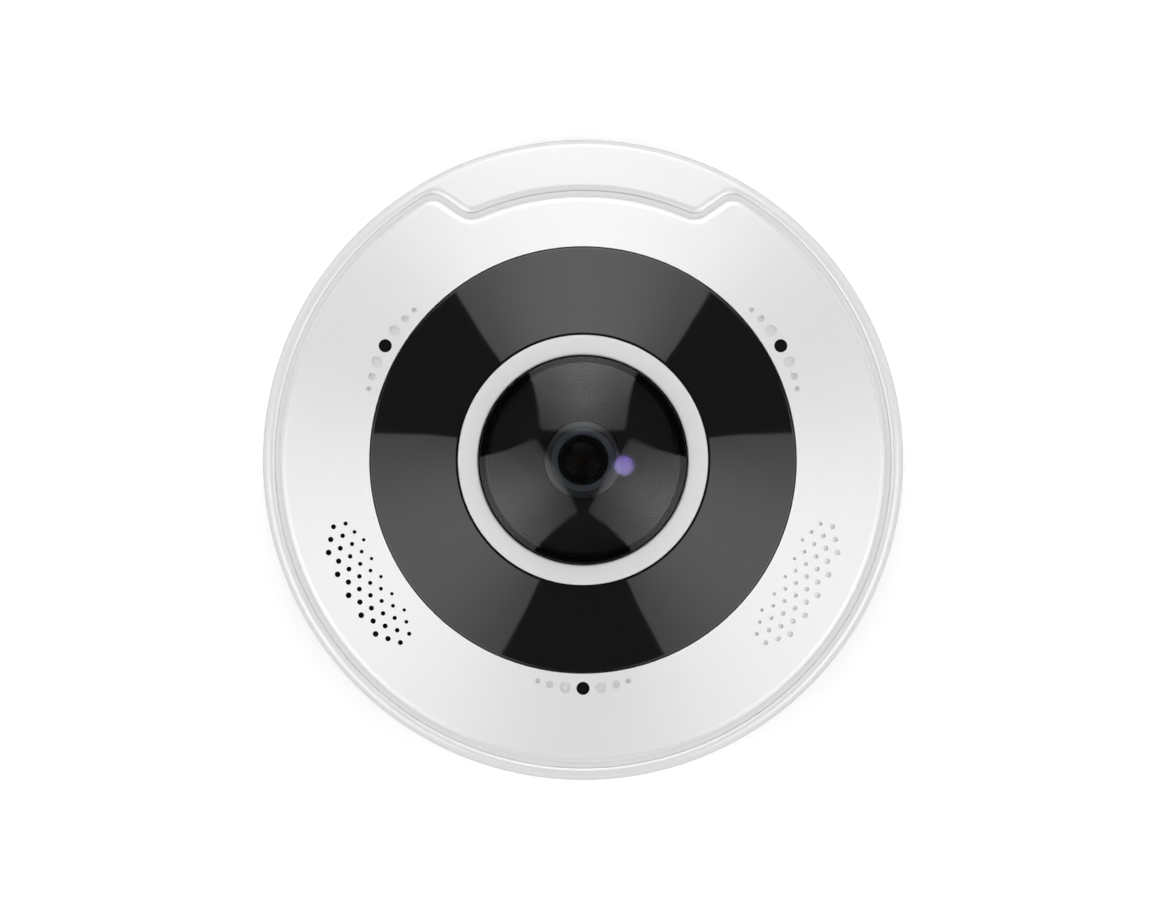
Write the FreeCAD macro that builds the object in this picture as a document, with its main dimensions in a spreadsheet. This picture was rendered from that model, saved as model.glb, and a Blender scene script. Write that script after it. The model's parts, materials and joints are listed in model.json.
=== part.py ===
# Ceiling camera with a fisheye lens, built as an assembly of its separate pieces.
#
# Frame: the mounting face is z = 0, the lens looks along +Z, and the raised land in the
# front cover's notch lies towards +Y. The optical axis is the Z axis. Lengths are in
# millimetres and angles in degrees, measured from +X towards +Y.

import FreeCAD, Part
import math
import os
import Sketcher

# Driving sizes: alias, value, meaning
SIZES = [
    # Whole camera
    ("outer_radius", 83.0, "rear housing at its rim"),
    ("total_height", 68.4, "mounting face to the top of the dome"),
    ("part_gap", 0.3, "gap between pieces that must come apart or move"),
    ("fit_gap", 0.1, "gap round a pin, screw or glued-in piece"),
    # Mounting plate
    ("plate_metal", 2.0, "sheet thickness"),
    ("plate_radius", 73.0, "outside of the turned-up rim"),
    ("plate_rim_height", 5.2, "top of the turned-up rim"),
    ("cable_hole_radius", 22.0, "hole for the cable in the plate"),
    ("ridge_inner", 50.8, "inner edge of the ridge's flat top"),
    ("ridge_outer", 65.2, "outer edge of the ridge's flat top"),
    ("ridge_height", 6.0, "top of the pressed ridge"),
    ("ridge_lean", 60.0, "slope of the ridge's sides"),
    ("ceiling_screw_circle", 35.0, "radius of the circle of ceiling screws"),
    ("ceiling_screw_bore", 2.4, "radius of a ceiling screw hole"),
    ("ceiling_screw_count", 4, "ceiling screw holes"),
    ("stud_circle", 58.0, "radius of the circle of bayonet studs"),
    ("stud_start", 90.0, "direction of the first stud"),
    ("stud_count", 3, "bayonet studs"),
    ("twist_angle", 18.0, "turn that frees the camera"),
    ("stud_head_radius", 4.0, "head of a bayonet stud"),
    ("stud_head_height", 1.7, "head of a bayonet stud"),
    ("stud_neck_radius", 2.0, "neck of a bayonet stud"),
    ("stud_thread_radius", 1.5, "thread of a bayonet stud"),
    ("stud_thread_length", 4.6, "thread of a bayonet stud"),
    ("keyhole_gap", 0.6, "room round the stud's head in a keyhole"),
    ("lock_screw_radius", 1.5, "set screw that stops the twist"),
    ("lock_screw_height", 3.4, "height of the set screw's axis"),
    ("lock_screw_recess", 0.6, "set screw below the housing's side"),
    # Rear housing
    ("rim_lift", 0.5, "housing's rim above the ceiling"),
    ("shoulder_radius", 82.2, "side wall at its top"),
    ("shoulder_height", 38.4, "top of the drafted side wall"),
    ("shoulder_round", 8.5, "round from the side into the band"),
    ("band_radius", 80.9, "inner end of the shoulder's round"),
    ("housing_wall", 3.0, "wall of the casting"),
    ("ledge_height", 37.0, "ledge that carries the case seal"),
    ("ledge_width", 3.9, "ledge inside the cover's outline"),
    ("ledge_depth", 3.0, "thickness of the ledge"),
    ("land_core_wall", 3.0, "wall over the hollow under the land"),
    ("land_core_angle", 42.0, "width of the hollow under the land"),
    ("board_post_radius", 3.2, "post under the main board"),
    ("board_post_circle", 56.0, "circle of the main board's posts"),
    ("board_post_start", 50.0, "direction of the first board post"),
    ("chassis_post_radius", 3.4, "post under the chassis"),
    ("chassis_post_circle", 68.0, "circle of the chassis posts"),
    ("chassis_post_start", 75.0, "direction of the first chassis post"),
    ("column_radius", 4.6, "column round a case screw"),
    ("column_circle", 71.0, "circle of the case screws"),
    ("column_start", 30.0, "direction of the first case screw"),
    ("column_count", 3, "case screws and their columns"),
    ("post_count", 4, "board posts and chassis posts"),
    ("pedestal_side", 18.0, "pedestal that cools the main chip"),
    ("pedestal_place", 28.0, "pedestal's distance from the axis"),
    ("pedestal_gap", 3.2, "main chip and thermal pad together"),
    ("chip_side", 15.0, "main chip"),
    ("chip_height", 1.8, "main chip"),
    ("rib_count", 12, "ribs behind the rear wall"),
    ("rib_length", 5.8, "rib, from the skirt inwards"),
    ("rib_thickness", 1.8, "rib"),
    ("rib_depth", 3.2, "rib below the rear wall"),
    # Outline of the front cover
    ("joint_radius", 78.7, "middle of the joint round the front cover"),
    ("notch_radius", 68.5, "front cover inside the notch"),
    ("notch_half_angle", 27.5, "notch from its middle to the middle of its wall"),
    ("notch_lean", 28.0, "lean of the notch's wall from radial"),
    ("notch_round", 4.6, "corners of the notch seen from the front"),
    ("edge_round", 2.2, "soft edges on both sides of the joint"),
    ("step_width", 1.2, "step of the housing that closes the joint from below"),
    ("joint_depth", 2.7, "step below the cover's face"),
    # Front cover
    ("opening_radius", 55.3, "opening for the window"),
    ("opening_height", 49.5, "front cover's height at the window"),
    ("cover_slope", 14.6, "fall of the front cover"),
    ("cover_wall", 2.6, "wall of the front cover"),
    ("lip_width", 2.2, "lip under the window's edge"),
    ("lip_thickness", 2.0, "lip under the window's edge"),
    ("boss_radius", 3.6, "boss for a case screw"),
    # Speaker grille and microphones
    ("grille_angle", 210.0, "direction of the open speaker grille"),
    ("blind_angle", 330.0, "direction of the blind grille"),
    ("grille_radius", 60.35, "first row of grille holes"),
    ("grille_pitch", 1.62, "distance between rows"),
    ("grille_step", 5.0, "angle between holes in a row"),
    ("grille_hole", 0.45, "radius of the smallest grille hole"),
    ("grille_growth", 0.05, "growth of the holes from row to row"),
    ("dimple_depth", 0.7, "depth of a blind hole"),
    ("mic_circle", 59.07, "circle of the microphones"),
    ("mic_start", 30.0, "direction of the first microphone"),
    ("mic_count", 3, "microphones"),
    ("mic_hole", 1.7, "radius of a microphone hole"),
    ("mic_step", 4.5, "angle from the hole to its first dimple"),
    ("mic_dimple", 1.4, "radius of the largest dimple"),
    # Window, ring and dome
    ("window_outer", 55.0, "black window, outside"),
    ("window_inner", 32.5, "black window, inside"),
    ("window_slope", 14.0, "rise of the window"),
    ("window_wall", 2.5, "wall of the window"),
    ("seal_thickness", 0.4, "glued seals"),
    ("ring_outer", 32.3, "light ring, outside"),
    ("ring_inner", 27.1, "light ring, inside"),
    ("ring_top", 56.4, "top of the ring"),
    ("ring_height", 2.3, "height of the ring"),
    ("ring_round", 0.7, "edges of the ring"),
    ("dome_radius", 26.8, "dome's short upright wall"),
    ("dome_wall", 2.0, "wall of the dome"),
    ("dome_shoulder", 56.2, "top of the dome's upright wall"),
    ("flange_radius", 31.5, "dome's flange"),
    ("flange_thickness", 1.8, "dome's flange"),
    ("carrier_outer", 54.2, "window carrier, outside"),
    ("carrier_wall", 1.6, "window carrier's plate"),
    ("carrier_ears", 6, "screw ears of the window carrier"),
    ("ear_circle", 58.8, "circle of the ear screws"),
    ("ear_radius", 3.2, "ear"),
    # Lens
    ("eye_radius", 7.5, "front glass seen inside its retainer"),
    ("eye_clearance", 3.4, "front glass below the inside of the dome"),
    ("eye_rise", 3.7, "front glass above its rim"),
    ("eye_wall", 2.2, "front glass at its middle"),
    ("barrel_radius", 9.7, "front of the lens barrel"),
    ("barrel_thread", 6.0, "thread of the lens barrel"),
    ("retainer_height", 1.1, "ring over the front glass"),
    ("barrel_reach", 8.4, "rim of the front glass above the lens holder"),
    ("barrel_lift", 2.2, "barrel above the filter tray"),
    ("shroud_wall", 1.4, "black shroud"),
    ("shroud_radius", 24.2, "shroud's upright wall"),
    ("shroud_drop", 1.3, "shroud below the front glass's rim"),
    ("shroud_rise", 4.2, "rise of the shroud's slope"),
    # Boards and chassis
    ("board_thickness", 1.6, "circuit boards"),
    ("main_board_radius", 62.0, "main board"),
    ("main_board_height", 15.0, "underside of the main board"),
    ("chassis_radius", 72.0, "chassis"),
    ("chassis_height", 30.3, "underside of the chassis"),
    ("chassis_wall", 2.0, "chassis"),
    ("sensor_board_side", 34.0, "sensor board"),
    ("sensor_board_lift", 2.0, "sensor board above the chassis"),
    ("sensor_screw_circle", 20.6, "circle of the sensor board's screws"),
    ("led_board_outer", 50.0, "lamp board, outside"),
    ("led_board_inner", 25.0, "lamp board, inside"),
    ("led_board_height", 39.0, "underside of the lamp board"),
    ("led_post_circle", 46.0, "circle of the lamp board's posts"),
    ("led_circle", 38.5, "circle of the infrared lamps"),
    ("led_side", 3.5, "infrared lamp"),
    ("led_height", 1.0, "infrared lamp"),
    ("led_lens_radius", 4.6, "lens over an infrared lamp"),
    ("led_lens_height", 3.4, "lens over an infrared lamp"),
    ("sensor_width", 14.0, "image sensor"),
    ("sensor_depth", 11.0, "image sensor"),
    ("sensor_height", 1.4, "image sensor"),
    # Filter changer
    ("holder_length", 34.0, "lens holder along the filter's travel"),
    ("holder_width", 24.0, "lens holder across it"),
    ("tray_length", 17.0, "filter tray"),
    ("tray_width", 11.0, "filter tray"),
    ("tray_thickness", 1.4, "filter tray"),
    ("tray_height", 40.9, "underside of the filter tray"),
    ("filter_travel", 8.0, "travel of the filter tray"),
    ("filter_side", 7.0, "filter glass"),
    ("arm_length", 6.0, "arm from its pivot to its pin"),
    ("arm_pivot", 16.2, "arm's pivot from the lens axis"),
    ("arm_pin_radius", 0.6, "pin of the arm"),
    # Speaker and microphones
    ("speaker_circle", 64.6, "middle of the speaker"),
    ("speaker_radius", 8.6, "speaker's basket"),
    ("speaker_height", 6.4, "speaker's basket"),
    ("cone_travel", 0.5, "travel of the speaker's cone"),
    ("boot_radius", 3.2, "rubber round a microphone"),
    ("boot_height", 5.2, "rubber round a microphone"),
    ("mic_radius", 2.0, "microphone capsule"),
    # Memory card and reset button
    ("card_length", 15.0, "memory card"),
    ("card_width", 11.0, "memory card"),
    ("card_thickness", 0.8, "memory card"),
    ("card_place", 53.5, "middle of the card from the axis"),
    ("slot_wall", 0.4, "shell of the card slot"),
    ("button_radius", 1.6, "reset button"),
    ("button_height", 2.2, "reset button above its switch"),
    ("button_travel", 0.4, "travel of the reset button"),
    ("switch_side", 6.0, "switch under the reset button"),
    ("switch_height", 2.6, "switch under the reset button"),
    ("switch_across", 12.5, "switch from the card's middle line"),
    # Fasteners and cable entry
    ("small_screw", 1.2, "radius of the small screws"),
    ("small_head", 2.2, "radius of the small screws' heads"),
    ("case_screw", 1.5, "radius of the case screws"),
    ("case_head", 2.9, "radius of the case screws' heads"),
    ("head_height", 1.6, "height of the screw heads"),
    ("case_head_height", 27.0, "shoulder under the case screws' heads"),
    ("gland_place", 10.0, "cable gland from the axis"),
    ("gland_hole", 10.2, "hole for the gland in the rear wall"),
    ("gland_flange", 12.6, "flanges of the gland"),
    ("gland_bore", 4.0, "cable bore of the gland"),
]

DOC = FreeCAD.newDocument("fisheye_camera")
NODES = []


def fill_sheet():
    """Write the driving sizes into the sheet, one named cell each."""
    sheet = DOC.addObject("Spreadsheet::Sheet", "sizes")
    for row, (alias, value, meaning) in enumerate(SIZES, start=1):
        sheet.set(f"A{row}", meaning)
        sheet.set(f"B{row}", str(value))
        sheet.setAlias(f"B{row}", alias)
    DOC.recompute()


class Size:
    """A number together with the sheet expression that gives it."""

    def __init__(self, value, text):
        self.value = value
        self.text = text

    def __add__(self, other):
        other = as_size(other)
        return Size(self.value + other.value, f"({self.text} + {other.text})")

    def __radd__(self, other):
        return as_size(other) + self

    def __sub__(self, other):
        other = as_size(other)
        return Size(self.value - other.value, f"({self.text} - {other.text})")

    def __rsub__(self, other):
        return as_size(other) - self

    def __mul__(self, other):
        other = as_size(other)
        return Size(self.value * other.value, f"({self.text} * {other.text})")

    def __rmul__(self, other):
        return as_size(other) * self

    def __truediv__(self, other):
        other = as_size(other)
        return Size(self.value / other.value, f"({self.text} / {other.text})")

    def __rtruediv__(self, other):
        return as_size(other) / self

    def __neg__(self):
        return Size(-self.value, f"(0 - {self.text})")


def smaller(first, second):
    """The smaller of two sizes, also in the sheet's expression."""
    return Size(min(first.value, second.value), f"min({first.text}; {second.text})")


def as_size(number):
    """Take a plain number or a Size, and give a Size."""
    if isinstance(number, Size):
        return number
    return Size(float(number), str(float(number)))


def cap_radius(width, rise):
    """Radius of a ball whose cap has this half width and rise."""
    return (width * width + rise * rise) / (2 * rise)


def cosine(angle):
    """Cosine of an angle in degrees."""
    angle = as_size(angle)
    return Size(math.cos(math.radians(angle.value)), f"cos({angle.text})")


def sine(angle):
    """Sine of an angle in degrees."""
    angle = as_size(angle)
    return Size(math.sin(math.radians(angle.value)), f"sin({angle.text})")


def tangent(angle):
    """Tangent of an angle in degrees."""
    angle = as_size(angle)
    return Size(math.tan(math.radians(angle.value)), f"tan({angle.text})")


def root(number):
    """Square root."""
    return Size(math.sqrt(number.value), f"sqrt({number.text})")


class Sheet:
    """The driving sizes by name."""


S = Sheet()
for alias_name, cell_value, _ in SIZES:
    setattr(S, alias_name, Size(float(cell_value), f"sizes.{alias_name}"))


def polar(radius, angle):
    """Point at a radius and an angle."""
    return radius * cosine(angle), radius * sine(angle)


def tie(thing, name, size):
    """Bind a property, or a part of one, to the sheet."""
    thing.setExpression(name, as_size(size).text)


def place(thing, across=0, along=0, up=0, turn=0):
    """Bind an object's position, and its turn about the Z axis."""
    thing.Placement = FreeCAD.Placement(FreeCAD.Vector(), FreeCAD.Rotation(FreeCAD.Vector(0, 0, 1), 1))
    tie(thing, "Placement.Base.x", across)
    tie(thing, "Placement.Base.y", along)
    tie(thing, "Placement.Base.z", up)
    tie(thing, "Placement.Rotation.Angle", turn)


def keep(thing, label):
    """Name a finished piece and put it on the list of nodes."""
    thing.Label = label
    NODES.append(thing)
    return thing


# Sketching


def sketch_in(body, role, lift=None):
    """New sketch on one of the body's own origin planes, lifted off it if asked."""
    sketch = body.newObject("Sketcher::SketchObject", f"{body.Name}_sketch")
    plane = [datum for datum in body.Origin.OriginFeatures if datum.Role == role][0]
    sketch.AttachmentSupport = [(plane, "")]
    sketch.MapMode = "FlatFace"
    if lift is not None:
        tie(sketch, "AttachmentOffset.Base.z", lift)
    return sketch


def pin_point(sketch, edge, end, across, along):
    """Hold a point of an edge at sheet sizes, or on an axis where the size is nothing."""
    for kind, axis, size in (("DistanceX", -2, as_size(across)), ("DistanceY", -1, as_size(along))):
        if size.text == "0.0":
            sketch.addConstraint(Sketcher.Constraint("PointOnObject", edge, end, axis))
            continue
        number = sketch.addConstraint(Sketcher.Constraint(kind, -1, 1, edge, end, size.value))
        tie(sketch, f"Constraints[{number}]", size)


def draw_circle(sketch, across, along, radius):
    """Circle with its middle and radius bound to the sheet."""
    across, along, radius = as_size(across), as_size(along), as_size(radius)
    middle = FreeCAD.Vector(across.value, along.value, 0)
    edge = sketch.addGeometry(Part.Circle(middle, FreeCAD.Vector(0, 0, 1), radius.value))
    pin_point(sketch, edge, 3, across, along)
    number = sketch.addConstraint(Sketcher.Constraint("Radius", edge, radius.value))
    tie(sketch, f"Constraints[{number}]", radius)


def arc_through(start, finish, radius):
    """Arc of less than half a turn that turns left for a positive radius."""
    chord = finish - start
    half = chord.Length / 2
    left = FreeCAD.Vector(-chord.y, chord.x, 0).normalize()
    rise = abs(radius) - math.sqrt(radius * radius - half * half)
    side = -1 if radius > 0 else 1
    middle = (start + finish) / 2 + left * (side * rise)
    return Part.Arc(start, middle, finish)


def draw_outline(sketch, corners):
    """Closed outline through the corners, every corner bound to the sheet.

    A corner is (x, y) at the end of a straight edge, or (x, y, radius) at the end of an
    arc, which turns left for a positive radius.
    """
    corners = [tuple(as_size(number) for number in corner) for corner in corners]
    points = [FreeCAD.Vector(corner[0].value, corner[1].value, 0) for corner in corners]
    ends = []
    for number, corner in enumerate(corners):
        start = points[number - 1]
        finish = points[number]
        if len(corner) == 2:
            edge = sketch.addGeometry(Part.LineSegment(start, finish))
            ends.append((edge, 1, 2))
            continue
        radius = corner[2]
        edge = sketch.addGeometry(arc_through(start, finish, radius.value))
        ends.append((edge, 1, 2) if radius.value > 0 else (edge, 2, 1))
        size = radius if radius.value > 0 else -radius
        rule = sketch.addConstraint(Sketcher.Constraint("Radius", edge, size.value))
        tie(sketch, f"Constraints[{rule}]", size)
    for number, (edge, _, last) in enumerate(ends):
        following, first, _ = ends[(number + 1) % len(ends)]
        sketch.addConstraint(Sketcher.Constraint("Coincident", edge, last, following, first))
        pin_point(sketch, edge, last, corners[number][0], corners[number][1])


# Ways of making a piece


def revolved(name, corners, angle=360):
    """Body turned about the Z axis from an outline of radii and heights."""
    body = DOC.addObject("PartDesign::Body", name)
    sketch = sketch_in(body, "XZ_Plane")
    draw_outline(sketch, corners)
    turning = body.newObject("PartDesign::Revolution", f"{name}_turn")
    turning.Profile = sketch
    turning.ReferenceAxis = (sketch, ["V_Axis"])
    tie(turning, "Angle", angle)
    sketch.Visibility = False
    return body


def padded(name, corners, bottom, height, holes=()):
    """Body raised from an outline, or a circle if corners is a radius, with round holes."""
    body = DOC.addObject("PartDesign::Body", name)
    sketch = sketch_in(body, "XY_Plane", bottom)
    if isinstance(corners, list):
        draw_outline(sketch, corners)
    else:
        draw_circle(sketch, 0, 0, corners)
    for across, along, radius in holes:
        draw_circle(sketch, across, along, radius)
    pad = body.newObject("PartDesign::Pad", f"{name}_pad")
    pad.Profile = sketch
    tie(pad, "Length", height)
    return body


def rectangle(length, width, middle_x=0, middle_y=0):
    """Corners of a rectangle about a middle point."""
    left = middle_x - length / 2
    right = middle_x + length / 2
    near = middle_y - width / 2
    far = middle_y + width / 2
    return [(left, near), (right, near), (right, far), (left, far)]


def block(name, length, width, height, across=0, along=0, bottom=0):
    """Box about a middle point, standing on a height."""
    box = DOC.addObject("Part::Box", name)
    tie(box, "Length", length)
    tie(box, "Width", width)
    tie(box, "Height", height)
    place(box, across - length / 2, along - width / 2, bottom)
    return box


def rod(name, radius, bottom, height, across=0, along=0):
    """Upright cylinder."""
    cylinder = DOC.addObject("Part::Cylinder", name)
    tie(cylinder, "Radius", radius)
    tie(cylinder, "Height", height)
    place(cylinder, across, along, bottom)
    return cylinder


def copies(name, piece, places):
    """Group of separate copies of a piece at (x, y, turn) places."""
    links = []
    for number, (across, along, turn) in enumerate(places):
        link = DOC.addObject("App::Link", f"{name}_{number}")
        link.LinkedObject = piece
        link.LinkTransform = True
        place(link, across, along, 0, turn)
        links.append(link)
    group = DOC.addObject("Part::Compound", name)
    group.Links = links
    return group


def ring_places(radius, start, count):
    """Places on a circle, each turned to face outwards."""
    number = int(count.value) if isinstance(count, Size) else count
    places = []
    for step in range(number):
        angle = start + step * (360.0 / as_size(number))
        across, along = polar(radius, angle)
        places.append((across, along, angle))
    return places


def turns_about_axis(start, count):
    """Places that only turn a piece about the Z axis."""
    return [(0, 0, angle) for _, _, angle in ring_places(1, start, count)]


def fused(name, pieces):
    """One solid from touching pieces."""
    union = DOC.addObject("Part::MultiFuse", name)
    union.Shapes = pieces
    union.Refine = True
    return union


def cut_away(name, base, tools):
    """Base without the tools, which may be one object or a list."""
    tool = tools
    if isinstance(tools, list):
        tool = DOC.addObject("Part::Compound", f"{name}_tools")
        tool.Links = tools
    cut = DOC.addObject("Part::Cut", name)
    cut.Base = base
    cut.Tool = tool
    cut.Refine = True
    return cut


def shared(name, first, second):
    """What two solids have in common."""
    common = DOC.addObject("Part::Common", name)
    common.Base = first
    common.Tool = second
    common.Refine = True
    return common


def rounded(name, base, radius, wanted):
    """Base with every edge that wanted() picks rounded."""
    DOC.recompute()
    fillet = DOC.addObject("Part::Fillet", name)
    fillet.Base = base
    chosen = []
    for number, edge in enumerate(base.Shape.Edges, start=1):
        if wanted(edge):
            chosen.append((number, radius.value, radius.value))
    fillet.Edges = chosen
    return fillet


# Sizes that several pieces share


def cover_height(radius):
    """Height of the front cover's cone at a radius."""
    return S.opening_height - (radius - S.opening_radius) * tangent(S.cover_slope)


def window_height(radius):
    """Height of the window's cone at a radius."""
    return S.opening_height + (S.window_outer - radius) * tangent(S.window_slope)


OVERSHOOT = as_size(0.5)
COVER_RADIUS = S.joint_radius - S.part_gap / 2
NOTCH_ROUND = smaller(S.notch_round, (COVER_RADIUS - S.notch_radius) * 0.48)
SOFT_ROUND = smaller(S.edge_round, NOTCH_ROUND * 0.48)
PEDESTAL_TOP = S.main_board_height - S.pedestal_gap
BOARD_POSTS = ring_places(S.board_post_circle, S.board_post_start, S.post_count)
CHASSIS_POSTS = ring_places(S.chassis_post_circle, S.chassis_post_start, S.post_count)
COLUMNS = ring_places(S.column_circle, S.column_start, S.column_count)
STUDS = ring_places(S.stud_circle, S.stud_start, S.stud_count)
EARS = ring_places(S.ear_circle, 0, S.carrier_ears)
REAR_FACE = S.ridge_height + S.part_gap
REAR_INSIDE = REAR_FACE + S.housing_wall
CHASSIS_TOP = S.chassis_height + S.chassis_wall
SENSOR_BOARD = CHASSIS_TOP + S.sensor_board_lift
SENSOR_BOARD_TOP = SENSOR_BOARD + S.board_thickness
MAIN_BOARD_TOP = S.main_board_height + S.board_thickness
LED_BOARD_TOP = S.led_board_height + S.board_thickness
FLANGE_TOP = S.ring_top - S.ring_height
FLANGE_BOTTOM = FLANGE_TOP - S.flange_thickness
LIP_TOP = window_height(S.window_outer) - S.window_wall - S.seal_thickness
LIP_BOTTOM = LIP_TOP - S.lip_thickness
EYE_TOP = S.total_height - S.dome_wall - S.eye_clearance
EYE_RIM = EYE_TOP - S.eye_rise
HOLDER_TOP = EYE_RIM - S.barrel_reach
SHROUD_TOP = EYE_RIM - S.shroud_drop
SHROUD_SHOULDER = SHROUD_TOP - S.shroud_rise
ABOVE = S.total_height
STUD_NECK = REAR_FACE - S.plate_metal - S.part_gap * 2
SPEAKER_X, SPEAKER_Y = polar(S.speaker_circle, S.grille_angle)


def notch_corners(grow):
    """Outline of the front cover, grown outwards by a distance.

    The notch's walls are straight, and tangent arcs join them to the cover's edge and
    to the inner arc of the notch. The middles of these arcs don't depend on the growth.
    """
    middle_radius = (COVER_RADIUS + S.notch_radius) / 2
    wall_angle = 90 - S.notch_half_angle - S.notch_lean
    wall_x, wall_y = cosine(wall_angle), sine(wall_angle)
    distance = middle_radius * cosine(90 - S.notch_lean)
    outer_arm = COVER_RADIUS - NOTCH_ROUND
    inner_arm = S.notch_radius + NOTCH_ROUND
    outer_off = distance - NOTCH_ROUND
    inner_off = distance + NOTCH_ROUND
    outer_run = root(outer_arm * outer_arm - outer_off * outer_off)
    inner_run = root(inner_arm * inner_arm - inner_off * inner_off)
    outer_x = outer_run * wall_x - outer_off * wall_y
    outer_y = outer_run * wall_y + outer_off * wall_x
    inner_x = inner_run * wall_x - inner_off * wall_y
    inner_y = inner_run * wall_y + inner_off * wall_x
    outer_radius = COVER_RADIUS + grow
    inner_radius = S.notch_radius + grow
    convex = NOTCH_ROUND + grow
    hollow = NOTCH_ROUND - grow
    edge_x = outer_x * outer_radius / outer_arm
    edge_y = outer_y * outer_radius / outer_arm
    out_x = outer_x - convex * wall_y
    out_y = outer_y + convex * wall_x
    in_x = inner_x + hollow * wall_y
    in_y = inner_y - hollow * wall_x
    deep_x = inner_x * inner_radius / inner_arm
    deep_y = inner_y * inner_radius / inner_arm
    return [
        (edge_x, edge_y, outer_radius),
        (out_x, out_y, convex),
        (in_x, in_y),
        (deep_x, deep_y, -hollow),
        (-deep_x, deep_y, inner_radius),
        (-in_x, in_y, -hollow),
        (-out_x, out_y),
        (-edge_x, edge_y, convex),
        (0, -outer_radius, outer_radius),
    ]


def cover_prism(name, grow, bottom, height):
    """Upright solid with the front cover's outline."""
    return padded(name, notch_corners(grow), bottom, height)


def screw(name, radius, head_radius, head_height, length, upside=False):
    """Pan head screw with a cross-shaped recess, its shoulder at height nothing.

    The thread runs down and the head stands up, or the other way round if upside is set.
    """
    sign = -1 if upside else 1
    crown = head_height * 0.45
    body = revolved(name, [
        (0, -sign * length),
        (radius * 0.55, -sign * length),
        (radius, -sign * (length - radius * 0.6)),
        (radius, 0),
        (head_radius, 0),
        (head_radius, sign * crown),
        (head_radius * 0.6, sign * head_height),
        (head_radius * 0.35, sign * head_height),
        (0, sign * (head_height * 0.4)),
    ])
    return body


# Pieces at the ceiling


def make_mounting_plate():
    """Pressed steel plate: flat middle, bayonet ridge with keyholes, turned-up rim."""
    bend = S.plate_metal * tangent(S.ridge_lean / 2)
    rise = S.ridge_height - S.plate_metal
    run = rise / tangent(S.ridge_lean)
    blank = revolved("plate_blank", [
        (S.cable_hole_radius, 0),
        (S.ridge_inner - run + bend, 0),
        (S.ridge_inner + bend, rise),
        (S.ridge_outer - bend, rise),
        (S.ridge_outer + run - bend, 0),
        (S.plate_radius - S.plate_metal, 0),
        (S.plate_radius, S.plate_metal, S.plate_metal),
        (S.plate_radius, S.plate_rim_height),
        (S.plate_radius - S.plate_metal, S.plate_rim_height),
        (S.plate_radius - S.plate_metal, S.plate_metal),
        (S.ridge_outer + run, S.plate_metal),
        (S.ridge_outer, S.ridge_height),
        (S.ridge_inner, S.ridge_height),
        (S.ridge_inner - run, S.plate_metal),
        (S.cable_hole_radius, S.plate_metal),
    ])
    half = S.stud_neck_radius + S.part_gap
    entry = S.stud_head_radius + S.keyhole_gap
    slot = revolved("keyhole_slot", [
        (S.stud_circle - half, rise / 2),
        (S.stud_circle + half, rise / 2),
        (S.stud_circle + half, S.ridge_height + 1),
        (S.stud_circle - half, S.ridge_height + 1),
    ], S.twist_angle)
    narrow = rod("keyhole_end", half, rise / 2, rise, S.stud_circle, 0)
    free_x, free_y = polar(S.stud_circle, S.twist_angle)
    wide = rod("keyhole_entry", entry, rise / 2, rise, free_x, free_y)
    keyhole = fused("keyhole", [slot, narrow, wide])
    keyholes = copies("keyholes", keyhole, turns_about_axis(S.stud_start, S.stud_count))
    hole = rod("ceiling_screw_hole", S.ceiling_screw_bore, -1, S.ridge_height)
    places = ring_places(S.ceiling_screw_circle, 45, S.ceiling_screw_count)
    screw_holes = copies("ceiling_screw_holes", hole, places)
    keep(cut_away("plate_cut", blank, [keyholes, screw_holes]), "mounting_plate")


def make_bayonet_studs():
    """Shoulder studs whose heads hook under the plate's ridge."""
    head_top = STUD_NECK
    stud = revolved("bayonet_stud", [
        (0, head_top - S.stud_head_height),
        (S.stud_head_radius - 0.5, head_top - S.stud_head_height),
        (S.stud_head_radius, head_top - S.stud_head_height + 0.5),
        (S.stud_head_radius, head_top),
        (S.stud_neck_radius, head_top),
        (S.stud_neck_radius, REAR_FACE),
        (S.stud_thread_radius, REAR_FACE),
        (S.stud_thread_radius, REAR_FACE + S.stud_thread_length),
        (0, REAR_FACE + S.stud_thread_length),
    ])
    keep(copies("stud_group", stud, STUDS), "bayonet_studs")


def make_lock_screw():
    """Set screw through the housing's skirt that stops against the plate's rim."""
    tip = S.plate_radius + S.part_gap
    length = S.outer_radius - S.lock_screw_recess - tip
    shaft = revolved("lock_screw_body", [
        (0, 0),
        (S.lock_screw_radius * 0.6, 0),
        (S.lock_screw_radius, S.lock_screw_radius * 0.4),
        (S.lock_screw_radius, length),
        (S.lock_screw_radius * 0.5, length),
        (S.lock_screw_radius * 0.5, length - 1.2),
        (0, length - 1.2),
    ])
    shaft.Placement = FreeCAD.Placement(FreeCAD.Vector(), FreeCAD.Rotation(FreeCAD.Vector(1, 0, 0), 90))
    tie(shaft, "Placement.Base.y", -tip)
    tie(shaft, "Placement.Base.z", S.lock_screw_height)
    keep(shaft, "lock_screw")


# Rear housing


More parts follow.
